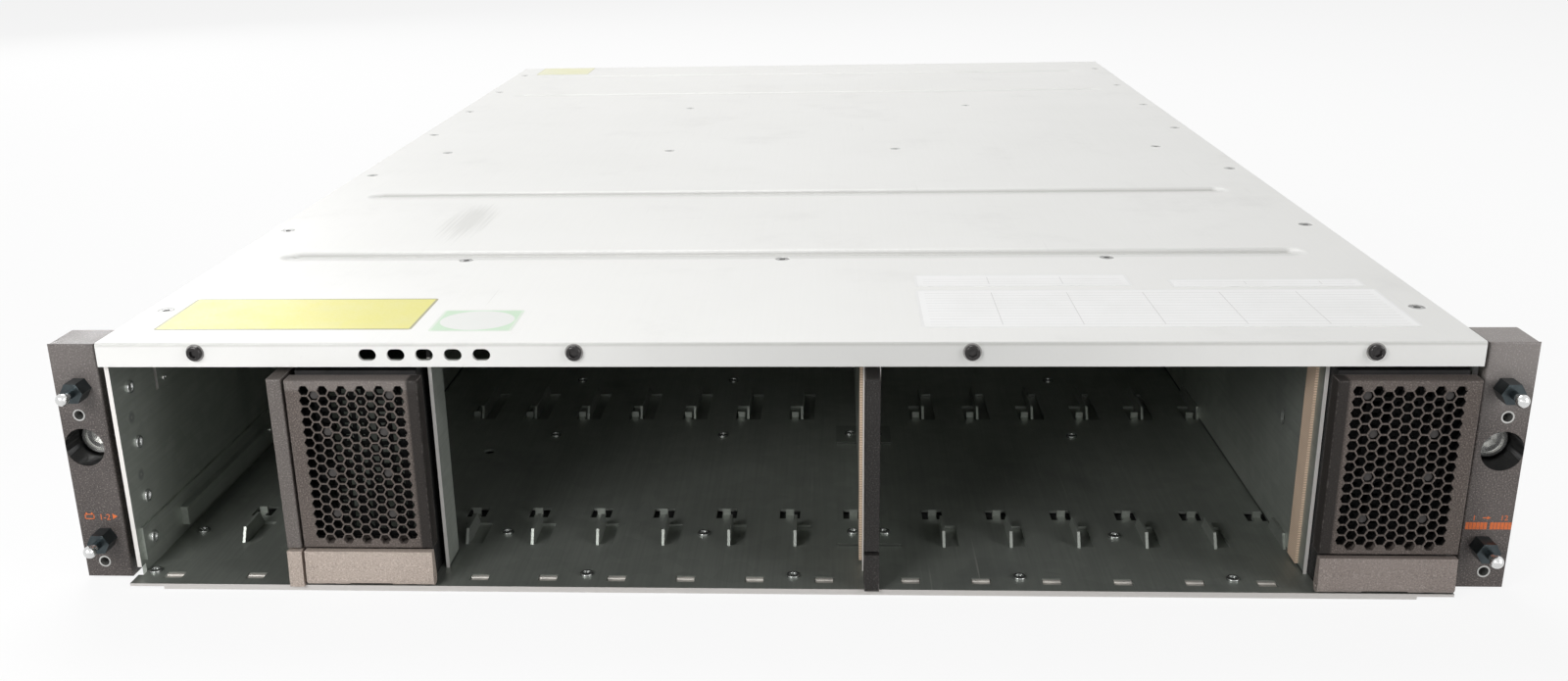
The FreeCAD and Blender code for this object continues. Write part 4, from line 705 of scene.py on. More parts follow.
def makeStudMaterial():
    look = studFinish
    material, tree, inputs, where = newMaterial("ballStudSteel")
    grain = grainOf(tree, where, look["grain"])
    base = rangeNode(tree, splitAxes(tree, where)[1], *look["seamSpan"])
    bright, dark = (mixColour(tree, grain["Blotches"], *look[key]) for key in ("bright", "dark"))
    roughness = rangeNode(tree, base, 0.0, 1.0, *look["roughness"])
    setLook(tree, inputs, mixColour(tree, base, bright, dark), roughness, look["metallic"])
    addBump(tree, inputs, grain["Grain"], look["bump"])
    return material


# Woven metal cloth of the gasket strips
gasketFinish = {
    "grain": (0.4, 10.0),
    "light": (0.86, 0.66, 0.50),
    "dark": (0.44, 0.325, 0.24),
    "weave": 0.9 * mm,
    "blotchSpan": (0.4, 0.8),
    "blotchShare": 0.4,
    "roughness": (0.8, 0.6),
    "bump": 0.4,
}


def makeGasketMaterial():
    look = gasketFinish
    material, tree, inputs, where = newMaterial("gasketCloth")
    axes = splitAxes(tree, where)
    waves = [mathNode(tree, "SINE", times(tree, axes[k], 2 * math.pi / look["weave"])) for k in (1, 2)]
    weave = rangeNode(tree, times(tree, *waves), -1.0, 1.0)
    grain = grainOf(tree, where, look["grain"])
    mixed = mixColour(tree, weave, look["dark"], look["light"])
    blotches = rangeNode(tree, grain["Blotches"], *look["blotchSpan"], 0.0, look["blotchShare"])
    colour = mixColour(tree, blotches, mixed, look["dark"])
    setLook(tree, inputs, colour, rangeNode(tree, weave, 0.0, 1.0, *look["roughness"]))
    addBump(tree, inputs, weave, look["bump"])
    return material


def dress(material, *names):
    for name in names:
        slots = nodes[name].data.materials
        slots.clear()
        slots.append(material)


# Nodes that keep their own mesh, by the material they get
steelDress = {
    "floorSteel": ["floor_pan"],
    "wallSteel": ["left_side_wall"],
    "rightWallSteel": ["right_side_wall"],
    "postSteel": ["battery_divider", "left_post"],
    "dividerSteel": ["centre_divider", "right_divider"],
    "innerSteel": ["top_front_rail", "midplane_bulkhead", "rear_bay_frame"],
    "guideSteel": ["battery_guide"],
    "moduleSteel": [f"{word}_{piece}" for word in levels
                    for piece in ("canister_tray", "canister_cover", "supply_case")],
}
grainyDress = {
    "shadowBlackSteel": [f"{word}_{piece}" for word in sides for piece in ("ear_bracket", "filler_box")],
    "insertSteel": ["ear_inserts"],
    "boardLaminate": ["midplane_board"] + [f"{word}_canister_board" for word in levels],
    "portNickel": [f"{word}_canister_ports" for word in levels],
}
nylonPieces = ("canister_fan_frames", "canister_rotor_a", "canister_rotor_b", "supply_rotor")


def dressEnd(word, look):
    ear = f"{word}_ear"
    bezel, screen, flap = (f"{word}_filler_{piece}" for piece in ("bezel", "screen", "flap"))
    wellPlace = sum(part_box(f"{word}_rack_screw"), Vector()) / 2
    earTopLight = (*paintFinish["earTopLight"], look["earTopLight"])
    dress(makePaintMaterial(f"{word}_earPaint", ear, look["ear"], well=wellPlace, topLight=earTopLight), ear)
    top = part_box(bezel)[1].z
    bezelTopLight = (*(top - part for part in paintFinish["bezelTopLight"]), look["bezelTopLight"])
    dress(makePaintMaterial(f"{word}_bezelPaint", bezel, cells=True, topLight=bezelTopLight,
                            gloss=paintFinish["bezelGloss"], shadedSide=look["shadedSide"]), bezel)
    dress(makeScreenMaterial(f"{word}_screenShadow", screen), screen)
    dress(makePaintMaterial(f"{word}_flapPaint", flap, look["chin"]), flap)


def dressNodes(bright, nylon):
    dress(makeCoverMaterial(), "top_cover")
    for name, pieces in steelDress.items():
        dress(makeSteelMaterial(name, **steelKinds[name]), *pieces)
    for name, pieces in grainyDress.items():
        dress(makeGrainyMaterial(name), *pieces)
    for word, look in endLooks.items():
        dressEnd(word, look)
    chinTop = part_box("left_filler_flap")[1].z + paintFinish["chinGap"]
    batteryCap, centreCap = "battery_divider_cap", "centre_divider_cap"
    dress(makePaintMaterial("batteryCapPaint", batteryCap, "cap", chinTop), batteryCap)
    dress(makePaintMaterial("centreCapPaint", centreCap, "dim", gloss=paintFinish["capGloss"]), centreCap)
    dress(bright, "left_flap_pin", "right_flap_pin")
    dress(makeFastenerMaterial("coverScrewSteel"), "top_cover_screws")
    dress(makeStudMaterial(), "ball_studs")
    dress(makeGasketMaterial(), "emi_gaskets")
    dress(nylon, "midplane_connectors", *(f"{word}_{piece}" for word in levels for piece in nylonPieces))
    print("nodes dressed")


brightZinc = makeGrainyMaterial("brightZinc")
blackNylon = makeGrainyMaterial("blackNylon")
dressNodes(brightZinc, blackNylon)


# Shared steps of the modelled pieces
def pickAlone(piece):
    bpy.ops.object.select_all(action="DESELECT")
    piece.select_set(True)
    bpy.context.view_layer.objects.active = piece


def addShape(operator, **values):
    # Adds a primitive with nothing else selected
    bpy.ops.object.select_all(action="DESELECT")
    operator(**values)
    return bpy.context.active_object


def enterEdit():
    bpy.ops.object.mode_set(mode="EDIT")


def leaveEdit():
    bpy.ops.object.mode_set(mode="OBJECT")


def extrudeBy(x, y, z):
    bpy.ops.mesh.extrude_region_move(TRANSFORM_OT_translate={"value": (x, y, z)})


def faceOutward():
    bpy.ops.mesh.select_all(action="SELECT")
    bpy.ops.mesh.normals_make_consistent(inside=False)


def finishPiece(piece, name, material, body):
    pickAlone(piece)
    bpy.ops.object.transform_apply()
    piece.name = name
    piece.data.name = name
    piece.data.materials.clear()
    piece.data.materials.append(material)
    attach(piece, body)
    bpy.ops.object.select_all(action="DESELECT")
    return piece


def applyModifier(piece, kind, **values):
    modifier = piece.modifiers.new(kind.title(), kind)
    for key, value in values.items():
        setattr(modifier, key, value)
    bpy.context.view_layer.objects.active = piece
    bpy.ops.object.modifier_apply(modifier=modifier.name)


def cutAway(piece, tool, **values):
    applyModifier(piece, "BOOLEAN", object=tool, operation="DIFFERENCE", solver="EXACT", **values)
    bpy.data.objects.remove(tool)


# How squarely a picked face looks along an axis, and how near counts as the same place
facing = 0.9
hair = 0.001 * mm
# Decimal places that tell points, rivet lengths and window edges apart
pointDigits, lengthDigits, edgeDigits = 7, 6, 5


def selectFaces(piece, wanted):
    # Leaves the piece in edit mode with just the wanted faces selected
    bpy.context.view_layer.objects.active = piece
    enterEdit()
    bpy.context.tool_settings.mesh_select_mode = (False, False, True)
    bpy.ops.mesh.select_all(action="DESELECT")
    leaveEdit()
    for face in piece.data.polygons:
        face.select = wanted(face)
    enterEdit()


def joinPieces(pieces):
    bpy.ops.object.select_all(action="DESELECT")
    for piece in pieces:
        piece.select_set(True)
        bpy.context.view_layer.objects.active = piece
    bpy.ops.object.transform_apply()
    if len(pieces) > 1:
        bpy.ops.object.join()
    return bpy.context.active_object


def copyPiece(piece, turn):
    twin = piece.copy()
    twin.data = piece.data.copy()
    bpy.context.scene.collection.objects.link(twin)
    twin.matrix_world = turn
    return twin


def scatter(pattern, turns):
    # Joins a copy at each place, and the pattern goes
    copies = [copyPiece(pattern, turn) for turn in turns]
    bpy.data.objects.remove(pattern)
    return joinPieces(copies)


# Turned pieces stand on Z: a disc whose ends are stepped, rounded and given a hexagon socket
def addDisc(radius, height, corners=32):
    disc = addShape(bpy.ops.mesh.primitive_cylinder_add, vertices=corners, radius=radius * mm,
                    depth=height * mm, location=(0.0, 0.0, height * mm / 2))
    bpy.ops.object.transform_apply()
    return disc


def selectEnd(piece, side):
    # The flat face at the top (side 1) or at the bottom (side -1)
    level = max(side * vertex.co.z for vertex in piece.data.vertices) - hair
    selectFaces(piece, lambda face: side * face.normal.z > facing and side * face.center.z > level)


def stepEnd(piece, side, steps):
    # Each step is an inset and a rise, in millimetres
    selectEnd(piece, side)
    for inset, rise in steps:
        bpy.ops.mesh.inset(thickness=inset * mm, depth=rise * mm)
    leaveEdit()


def roundEnd(piece, side, reach, segments=4):
    selectEnd(piece, side)
    bpy.ops.mesh.bevel(offset=reach * mm, segments=segments, affect="EDGES")
    leaveEdit()


def sinkHexagon(piece, radius, depth):
    top = max(vertex.co.z for vertex in piece.data.vertices)
    cutAway(piece, addShape(bpy.ops.mesh.primitive_cylinder_add, vertices=6, radius=radius * mm,
                            depth=2 * depth * mm, location=(0.0, 0.0, top)))


def smoothPiece(piece, angle=35.0):
    pickAlone(piece)
    bpy.ops.object.shade_smooth_by_angle(angle=math.radians(angle))


def addBlock(low, high):
    # A box between two corners, in metres
    low, high = Vector(low), Vector(high)
    block = addShape(bpy.ops.mesh.primitive_cube_add, size=1.0, location=(low + high) / 2)
    block.scale = high - low
    bpy.ops.object.transform_apply()
    return block


def addSheet(size, corner, segments, place=(0.0, 0.0, 0.0)):
    # A flat sheet with rounded corners
    sheet = addShape(bpy.ops.mesh.primitive_plane_add, size=1.0, location=place)
    sheet.scale = (*size, 1.0)
    bpy.ops.object.transform_apply(location=False, rotation=False)
    enterEdit()
    bpy.ops.mesh.select_all(action="SELECT")
    bpy.ops.mesh.bevel(offset=corner * mm, segments=segments, affect="VERTICES")
    leaveEdit()
    return sheet


def softenEdges(piece, width, segments=3):
    applyModifier(piece, "BEVEL", width=width * mm, segments=segments, limit_method="ANGLE")
    smoothPiece(piece)


toFront = Matrix.Rotation(math.pi / 2, 4, "X")
toRear = Matrix.Rotation(-math.pi / 2, 4, "X")
toRight = Matrix.Rotation(math.pi / 2, 4, "Y")

# Blind rivets: a rimmed head with a sunk middle and the broken stem in it
rivetShape = {"height": 0.8, "shank": 1.5, "round": 0.3, "ring": 0.62, "wall": 0.12, "sink": 0.5,
              "stem": 0.35, "stemRise": 0.2, "corners": 24, "smooth": 40.0, "rim": 0.9}


def solidPoints(name):
    # The node's points sorted by solid: faces that share a point belong together
    mesh = nodes[name].data
    keys = [tuple(round(part, pointDigits) for part in vertex.co) for vertex in mesh.vertices]
    owner = {key: key for key in keys}

    def find(key):
        while owner[key] != key:
            key = owner[key]
        return key

    for face in mesh.polygons:
        first = find(keys[face.vertices[0]])
        for index in face.vertices[1:]:
            owner[find(keys[index])] = first
    solids = {}
    for key in owner:
        solids.setdefault(find(key), []).append(Vector(key))
    return list(solids.values())


def modelRivet(radius, length):
    shape = rivetShape
    rivet = addDisc(radius, shape["height"], shape["corners"])
    roundEnd(rivet, 1, shape["round"], segments=3)
    stepEnd(rivet, 1, [(shape["ring"], 0.0), (shape["wall"], -shape["sink"]),
                       (shape["stem"], shape["stemRise"])])
    stepEnd(rivet, -1, [(radius - shape["shank"], 0.0), (0.0, length)])
    smoothPiece(rivet, shape["smooth"])
    return rivet


def makeRivets():
    headHeight = rivetShape["height"] * mm
    patterns = {}
    copies = []
    for points in solidPoints("rivets"):
        low = Vector([min(point[k] for point in points) for k in range(3)])
        high = Vector([max(point[k] for point in points) for k in range(3)])
        size = high - low
        # The head's circle lies across the rivet's axis
        axis = min(range(3), key=lambda k: abs(size[k - 1] - size[k - 2]))
        middle = (low + high) / 2
        headRadius = size[axis - 1] / 2
        across = [point for point in points if (point - middle)[axis - 1] > rivetShape["rim"] * headRadius]
        side = 1.0 if across[0][axis] > middle[axis] else -1.0
        length = round(size[axis] - headHeight, lengthDigits)
        if length not in patterns:
            patterns[length] = modelRivet(headRadius / mm, length / mm)
        ahead = Vector([side if k == axis else 0.0 for k in range(3)])
        seat = middle + ahead * (size[axis] / 2 - headHeight)
        turn = Matrix.Translation(seat) @ ahead.to_track_quat("Z", "Y").to_matrix().to_4x4()
        copies.append(copyPiece(patterns[length], turn))
    for pattern in patterns.values():
        bpy.data.objects.remove(pattern)
    rivets = finishPiece(joinPieces(copies), "blindRivets", makeFastenerMaterial("rivetZinc"), "chassis")
    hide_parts("rivets")
    print("rivets:", len(copies))


makeRivets()


# Button screws of the lip: pale flange, dark domed head
lipScrew = {"flange": 3.0, "flangeHeight": 0.25, "neck": 0.5, "head": 1.45, "round": 0.55, "rim": 0.3,
            "rimSink": 0.12, "socket": 1.45, "socketDepth": 1.0, "shank": 1.45}
lipScrewFinish = {
    "headSpan": (0.06 * mm, 0.02 * mm),
    "axis": 1,
    "grain": (0.6, 3.0),
    "blotches": (0.0, 1.0),
    "start": ((0.014, 0.013, 0.013), (0.05, 0.046, 0.046)),
    "end": ((0.36, 0.35, 0.34), (0.36, 0.35, 0.34)),
    "metallic": 0.5,
    "gloss": 0.45,
    "roughness": (0.1, 0.16),
    "bump": 0.1,
}


def makeLipScrewMaterial(lipFace):
    edge = lipFace - lipScrew["flangeHeight"] * mm
    span = [edge - part for part in lipScrewFinish["headSpan"]]
    return makeToneMaterial("lipScrewSteel", lipScrewFinish, span)


def makeLipScrews():
    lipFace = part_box("top_cover")[0].y
    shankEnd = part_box("front_cover_screws")[1].y
    screw = addDisc(lipScrew["flange"], lipScrew["flangeHeight"])
    stepEnd(screw, 1, [(lipScrew["neck"], 0.0), (0.0, lipScrew["head"])])
    roundEnd(screw, 1, lipScrew["round"])
    stepEnd(screw, 1, [(lipScrew["rim"], 0.0), (lipScrew["rimSink"], -lipScrew["rimSink"])])
    sinkHexagon(screw, lipScrew["socket"], lipScrew["socketDepth"])
    length = (shankEnd - lipFace) / mm
    stepEnd(screw, -1, [(lipScrew["flange"] - lipScrew["shank"], 0.0), (0.0, length)])
    smoothPiece(screw)
    places = []
    for points in solidPoints("front_cover_screws"):
        middle = sum(points, Vector()) / len(points)
        places.append(Matrix.Translation((middle.x, lipFace, middle.z)) @ toFront)
    screws = finishPiece(scatter(screw, places), "lipScrews", makeLipScrewMaterial(lipFace), "chassis")
    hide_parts("front_cover_screws")
    print("lip screws:", len(places))


makeLipScrews()

# Captive rack screws at the bottom of the ear wells: ringed head, hexagon socket
rackScrew = {"head": 6.2, "headLength": 3.6, "round": 0.5, "rim": 0.8, "groove": 0.6, "slope": 0.2,
             "sink": 0.8, "rise": 0.4, "socket": 2.9, "socketDepth": 2.2, "neck": 3.2, "neckLength": 2.9,
             "shaft": 2.9, "tip": 0.8}


def makeRackScrews():
    captive = makeGrainyMaterial("captiveSteel")
    low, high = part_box("left_rack_screw")
    screw = addDisc(rackScrew["head"], rackScrew["headLength"], corners=48)
    roundEnd(screw, 1, rackScrew["round"])
    ring = [(rackScrew["rim"], 0.0), (rackScrew["slope"], -rackScrew["sink"]), (rackScrew["groove"], 0.0),
            (rackScrew["slope"], rackScrew["rise"])]
    stepEnd(screw, 1, ring)
    sinkHexagon(screw, rackScrew["socket"], rackScrew["socketDepth"])
    shaft = (high.y - low.y) / mm - rackScrew["headLength"] - rackScrew["neckLength"]
    stepEnd(screw, -1, [(rackScrew["head"] - rackScrew["neck"], 0.0), (0.0, rackScrew["neckLength"]),
                        (rackScrew["neck"] - rackScrew["shaft"], 0.0), (0.0, shaft - rackScrew["tip"]),
                        (rackScrew["tip"], rackScrew["tip"])])
    smoothPiece(screw)
    for word in sides:
        low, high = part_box(f"{word}_rack_screw")
        middle = (low + high) / 2
        seat = Vector((middle.x, low.y + rackScrew["headLength"] * mm, middle.z))
        twin = copyPiece(screw, Matrix.Translation(seat) @ toFront)
        finishPiece(twin, f"{word}RackScrew", captive, f"{word}_screw")
        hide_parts(f"{word}_rack_screw")
    bpy.data.objects.remove(screw)
    print("rack screws turned")


makeRackScrews()

# Moulded ears: the solids with their outer edges rounded
earRound = {"radius": 1.1, "segments": 3, "near": 0.02, "flatAngle": 0.5}


def outerEdges(mesh, low, high, outer):
    # Edges that lie on two of the ear's front, outer, top and bottom planes
    near = earRound["near"] * mm
    planes = ((1, low.y), (0, outer), (2, high.z), (2, low.z))

    def touched(vertex):
        return {k for k, (axis, level) in enumerate(planes) if abs(vertex.co[axis] - level) < near}

    for edge in mesh.edges:
        first, last = (touched(mesh.vertices[index]) for index in edge.vertices)
        edge.select = len(first & last) >= 2


def makeEars():
    for side, word in enumerate(sides):
        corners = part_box(f"{word}_ear")
        source = nodes[f"{word}_ear"].data
        ear = bpy.data.objects.new(f"{word}Ear", source.copy())
        bpy.context.scene.collection.objects.link(ear)
        pickAlone(ear)
        enterEdit()
        bpy.context.tool_settings.mesh_select_mode = (False, True, False)
        bpy.ops.mesh.select_all(action="SELECT")
        bpy.ops.mesh.remove_doubles(threshold=hair)
        bpy.ops.mesh.dissolve_limited(angle_limit=math.radians(earRound["flatAngle"]))
        bpy.ops.mesh.select_all(action="DESELECT")
        leaveEdit()
        outerEdges(ear.data, *corners, corners[side].x)
        enterEdit()
        bpy.ops.mesh.bevel(offset=earRound["radius"] * mm, segments=earRound["segments"], affect="EDGES")
        leaveEdit()
        smoothPiece(ear)
        applyModifier(ear, "WEIGHTED_NORMAL", keep_sharp=True)
        finishPiece(ear, f"{word}Ear", source.materials[0], "chassis")
        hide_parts(f"{word}_ear")
    print("ears moulded")


makeEars()

# Small clinched studs on the left wall and on the runner's ledge: places are Y and Z
wallStuds = {"radius": 1.2, "height": 0.6, "round": 0.3, "rim": 0.3, "slope": 0.1, "sink": 0.15, "sheet": 1.5,
             "wall": (20.5, 62.5), "ledge": (97.8, 11.7)}


def makeWallStuds():
    stud = addDisc(wallStuds["radius"], wallStuds["height"], corners=20)
    roundEnd(stud, 1, wallStuds["round"], segments=3)
    stepEnd(stud, 1, [(wallStuds["rim"], 0.0), (wallStuds["slope"], -wallStuds["sink"])])
    smoothPiece(stud)
    faces = {"wall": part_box("left_side_wall")[0].x + wallStuds["sheet"] * mm,
             "ledge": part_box("battery_guide")[1].x}
    places = []
    for name, face in faces.items():
        y, z = (part * mm for part in wallStuds[name])
        places.append(Matrix.Translation((face, y, z)) @ toRight)
    studs = finishPiece(scatter(stud, places), "wallStuds", brightZinc, "chassis")
    print("wall studs:", len(places))


makeWallStuds()

# Bent tongues that show in the front row of latch windows
latchTongues = {
    "windowFront": 4.5,  # from the pan's front edge, in millimetres like the rest
    "sheet": 1.0,
    "side": 0.2,
    "front": 0.25,
    "length": 3.9,
    "thick": 0.3,
    "stepBack": 1.5,
    "stepSlope": 0.375,
    "stepRise": 0.45,
    "edge": 0.06,
    "near": 0.05,
}


def windowSpans():
    # Left and right edges of the windows, read from the pan's own corners
    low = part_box("floor_pan")[0]
    line = low.y + latchTongues["windowFront"] * mm
    level = low.z + 2 * latchTongues["sheet"] * mm
    near = latchTongues["near"] * mm
    places = [vertex.co for vertex in nodes["floor_pan"].data.vertices]
    edges = sorted({round(place.x, edgeDigits) for place in places
                    if abs(place.y - line) < near and abs(place.z - level) < near})
    return line, list(zip(edges[0::2], edges[1::2]))


def makeLatchTongues():
    line, spans = windowSpans()
    shape = {key: value * mm for key, value in latchTongues.items()}
    half = (spans[0][1] - spans[0][0]) / 2 - shape["side"]
    tongue = addBlock((-half, 0.0, 0.0), (half, shape["length"] - shape["stepBack"], shape["thick"]))
    # The far end rises in a short slope and runs on level
    selectFaces(tongue, lambda face: face.normal.y > facing)
    extrudeBy(0.0, shape["stepSlope"], shape["stepRise"])
    extrudeBy(0.0, shape["stepBack"] - shape["stepSlope"], 0.0)
    leaveEdit()
    applyModifier(tongue, "BEVEL", width=shape["edge"], segments=1, limit_method="ANGLE")
    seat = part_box("floor_pan")[0].z + shape["sheet"]
    places = [Matrix.Translation(((left + right) / 2, line + shape["front"], seat)) for left, right in spans]
    metal = makeGrainyMaterial("tongueSteel")
    tongues = finishPiece(scatter(tongue, places), "latchTongues", metal, "chassis")
    print("latch tongues:", len(places))


makeLatchTongues()

# Strips under the floor that close the windows of both rows of guide fins
finBacking = {"rows": ((8.0, 31.0), (132.0, 173.0)), "z": (0.2, 0.95), "inset": 14.0, "edge": 0.2}


def makeFinBacking():
    low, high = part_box("floor_pan")
    inset = finBacking["inset"] * mm
    z = [part * mm for part in finBacking["z"]]
    strips = []
    for row in finBacking["rows"]:
        y = [part * mm for part in row]
        strip = addBlock((low.x + inset, y[0], z[0]), (high.x - inset, y[1], z[1]))
        softenEdges(strip, finBacking["edge"], segments=2)
        strips.append(strip)
    metal = makeSteelMaterial("backingSteel", **steelKinds["backingSteel"])
    backing = finishPiece(joinPieces(strips), "finBacking", metal, "chassis")
    print("fin backing strips:", len(strips))


makeFinBacking()

# Wire guards over the rear fans, held by four screws each
fanGuard = {
    "wire": 0.45,
    "spokeRound": 0.225,
    "rings": (5.6, 10.9, 16.1),
    "canisterSpread": 15.0,
    "supplySpread": 12.9,
    "screw": 1.6,
    "screwHeight": 0.55,
    "screwRound": 0.33,
    "screwSocket": 0.8,
}
fanRotors = {"canister": ("rotor_a", "rotor_b"), "supply": ("supply_rotor",)}
jointPlaces = {joint["name"]: joint.get("pos_m") for joint in frame["joints"]}


def modelFanGuard(reach):
    wire = fanGuard["wire"] * mm
    pieces = []
    for radius in fanGuard["rings"]:
        pieces.append(addShape(bpy.ops.mesh.primitive_torus_add, major_radius=radius * mm, minor_radius=wire,
                               major_segments=40, minor_segments=8, location=(0.0, 0.0, wire)))
    for turn in (math.pi / 4, -math.pi / 4):
        spoke = addDisc(fanGuard["wire"], 2 * math.sqrt(2) * reach, corners=8)
        roundEnd(spoke, 1, fanGuard["spokeRound"], segments=2)
        middle = Matrix.Translation((0.0, 0.0, -math.sqrt(2) * reach * mm))
        turned = Matrix.Translation((0.0, 0.0, wire)) @ Matrix.Rotation(turn, 4, "Z")
        spoke.matrix_world = turned @ toFront @ middle
        pieces.append(spoke)
    screw = addDisc(fanGuard["screw"], 2 * fanGuard["wire"], corners=20)
    stepEnd(screw, 1, [(0.0, fanGuard["screwHeight"])])
    roundEnd(screw, 1, fanGuard["screwRound"], segments=3)
    sinkHexagon(screw, fanGuard["screwSocket"], fanGuard["screwHeight"])
    for x in (-reach, reach):
        for y in (-reach, reach):
            pieces.append(copyPiece(screw, Matrix.Translation((x * mm, y * mm, 0.0))))
    bpy.data.objects.remove(screw)
    guard = joinPieces(pieces)
    smoothPiece(guard)
    return guard


def makeFanGuards():
    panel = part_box("top_cover")[1].y
    patterns = {kind: modelFanGuard(fanGuard[f"{kind}Spread"]) for kind in fanRotors}
    for word in levels:
        for kind, rotors in fanRotors.items():
            copies = []
            for rotor in rotors:
                place = Vector(jointPlaces[f"{word}_{rotor}_spin"])
                place.y = panel
                copies.append(copyPiece(patterns[kind], Matrix.Translation(place) @ toRear))
            name = f"{word}{kind.title()}Guards"
            guards = finishPiece(joinPieces(copies), name, brightZinc, f"{word}_{kind}")
    for pattern in patterns.values():
        bpy.data.objects.remove(pattern)
    print("fan guards fitted")


makeFanGuards()

# Black liners of the power inlets: flange on the panel, blind mouth inside
inletLiner = {
    "fromRight": 26.0,  # from the supply's right side, in millimetres like the rest
    "flange": (32.0, 25.0),
    "flangeThick": 1.2,
    "corner": 3.0,
    "bodyInset": 2.2,
    "bodyDepth": 15.5,
    "lipInset": 0.5,
    "lipRise": 0.4,
    "mouthInset": 3.0,
    "mouthDepth": 14.9,
}


def makeInletLiners():
    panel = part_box("top_cover")[1].y
    liner = addSheet([side * mm for side in inletLiner["flange"]], inletLiner["corner"], segments=5)
    enterEdit()
    bpy.ops.mesh.select_all(action="SELECT")
    extrudeBy(0.0, 0.0, inletLiner["flangeThick"] * mm)
    faceOutward()
    leaveEdit()
    stepEnd(liner, -1, [(inletLiner["bodyInset"], 0.0), (0.0, inletLiner["bodyDepth"])])
    stepEnd(liner, 1, [(inletLiner["lipInset"], inletLiner["lipRise"]), (inletLiner["mouthInset"], 0.0),
                       (0.0, -inletLiner["mouthDepth"])])
    smoothPiece(liner)
    for word in levels:
        low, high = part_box(f"{word}_supply_case")
        place = Vector((high.x - inletLiner["fromRight"] * mm, panel, (low.z + high.z) / 2))
        twin = copyPiece(liner, Matrix.Translation(place) @ toRear)
        finishPiece(twin, f"{word}InletLiner", blackNylon, f"{word}_supply")
    bpy.data.objects.remove(liner)
    print("inlet liners fitted")


makeInletLiners()

# Moulded ejector levers of the canisters: eye, bar with a sunk panel, ribs at the free end
leverShape = {"eye": 3.65, "eyeRound": 0.5, "bore": 1.6, "thick": 4.0, "edge": 0.8, "panelInset": 1.6,
              "panelSlope": 0.2, "panelSink": 0.8, "ribs": 6, "ribPitch": 3.0, "ribWidth": 1.2,
              "ribEdge": 0.3, "ribFromEnd": 5.0}
leverPlastic = makeGrainyMaterial("leverPlastic")


def modelLever(low, high, axis):
    half = leverShape["thick"] / 2 * mm
    bar = addBlock((axis.x, axis.y - half, low.z), (high.x, axis.y + half, high.z))
    selectFaces(bar, lambda face: face.normal.y > facing)
    bpy.ops.mesh.inset(thickness=leverShape["panelInset"] * mm)
    bpy.ops.mesh.inset(thickness=leverShape["panelSlope"] * mm, depth=-leverShape["panelSink"] * mm)
    leaveEdit()
    softenEdges(bar, leverShape["edge"])
    eye = addDisc(leverShape["eye"], (high.z - low.z) / mm)
    for side in (1, -1):
        roundEnd(eye, side, leverShape["eyeRound"])
    eye.location = (axis.x, axis.y, low.z)
    pieces = [bar, eye]
    margin = 2 * leverShape["panelInset"] * mm
    for k in range(leverShape["ribs"]):
        x = high.x - (leverShape["ribFromEnd"] + k * leverShape["ribPitch"]) * mm
        rib = addBlock((x - leverShape["ribWidth"] * mm, axis.y, low.z + margin),
                       (x, axis.y + half, high.z - margin))
        softenEdges(rib, leverShape["ribEdge"], segments=2)
        pieces.append(rib)
    lever = joinPieces(pieces)
    hole = addDisc(leverShape["bore"], 2 * (high.z - low.z) / mm)
    hole.location = (axis.x, axis.y, low.z - (high.z - low.z) / 2)
    cutAway(lever, hole, use_self=True)
    smoothPiece(lever)
    return lever


def makeLevers():
    for word in levels:
        low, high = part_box(f"{word}_canister_lever")
        lever = modelLever(low, high, Vector(jointPlaces[f"{word}_lever_hinge"]))
        finishPiece(lever, f"{word}Lever", leverPlastic, f"{word}_lever")
        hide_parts(f"{word}_canister_lever")
    print("levers moulded")


makeLevers()

# Bail handles of the supplies: one bar bent to a loop, with rounded edges
handleShape = {"thick": 3.0, "edge": 1.0, "arch": 4.0}


def modelHandle(low, high):
    thick = handleShape["thick"] * mm
    handle = addBlock(low, high)
    gap = addBlock((low.x + thick, low.y - thick, low.z - thick),
                   (high.x - thick, high.y + thick, high.z - thick))
    # The inner corners of the loop are arched
    selectFaces(gap, lambda face: face.normal.z > facing)
    bpy.ops.mesh.bevel(offset=handleShape["arch"] * mm, segments=5, affect="EDGES")
    leaveEdit()
    cutAway(handle, gap)
    softenEdges(handle, handleShape["edge"])
    return handle


def makeHandles():
    for word in levels:
        handle = modelHandle(*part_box(f"{word}_supply_handle"))
        finishPiece(handle, f"{word}Handle", leverPlastic, f"{word}_handle")
        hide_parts(f"{word}_supply_handle")
    print("handles bent")


makeHandles()

# Blank labels on the cover: places in millimetres
coverLabels = {
    "yellowLabel": {"x": (-210.3, -121.5), "y": (-4.0, 33.0), "paper": "yellow"},
    "greenEdgedLabel": {"x": (-115.4, -87.2), "y": (-6.0, 18.3), "paper": "greenEdged"},
    "ratingLabel": {"x": (49.0, 210.0), "y": (-3.0, 41.5), "paper": "white"},
    "stripLabelLeft": {"x": (49.5, 127.0), "y": (46.6, 62.0), "paper": "white"},
    "stripLabelRight": {"x": (140.7, 208.3), "y": (45.0, 55.0), "paper": "white"},
    "rearYellowLabel": {"x": (-208.0, -168.0), "y": (650.0, 688.0), "paper": "paleYellow"},
}
labelSheet = {
    "thickness": 0.06,
    "corner": 1.2,
    "grain": (0.9, 20.0),
    "fadeSpan": (0.4, 0.75),
    "borderSpan": (1.0 * mm, 0.8 * mm),
    "ovalShare": 0.9,
    "ovalRim": (1.02, 0.98),
    "rubShare": 0.6,
    "roughness": (0.38, 0.5),
    "bump": 0.05,
}
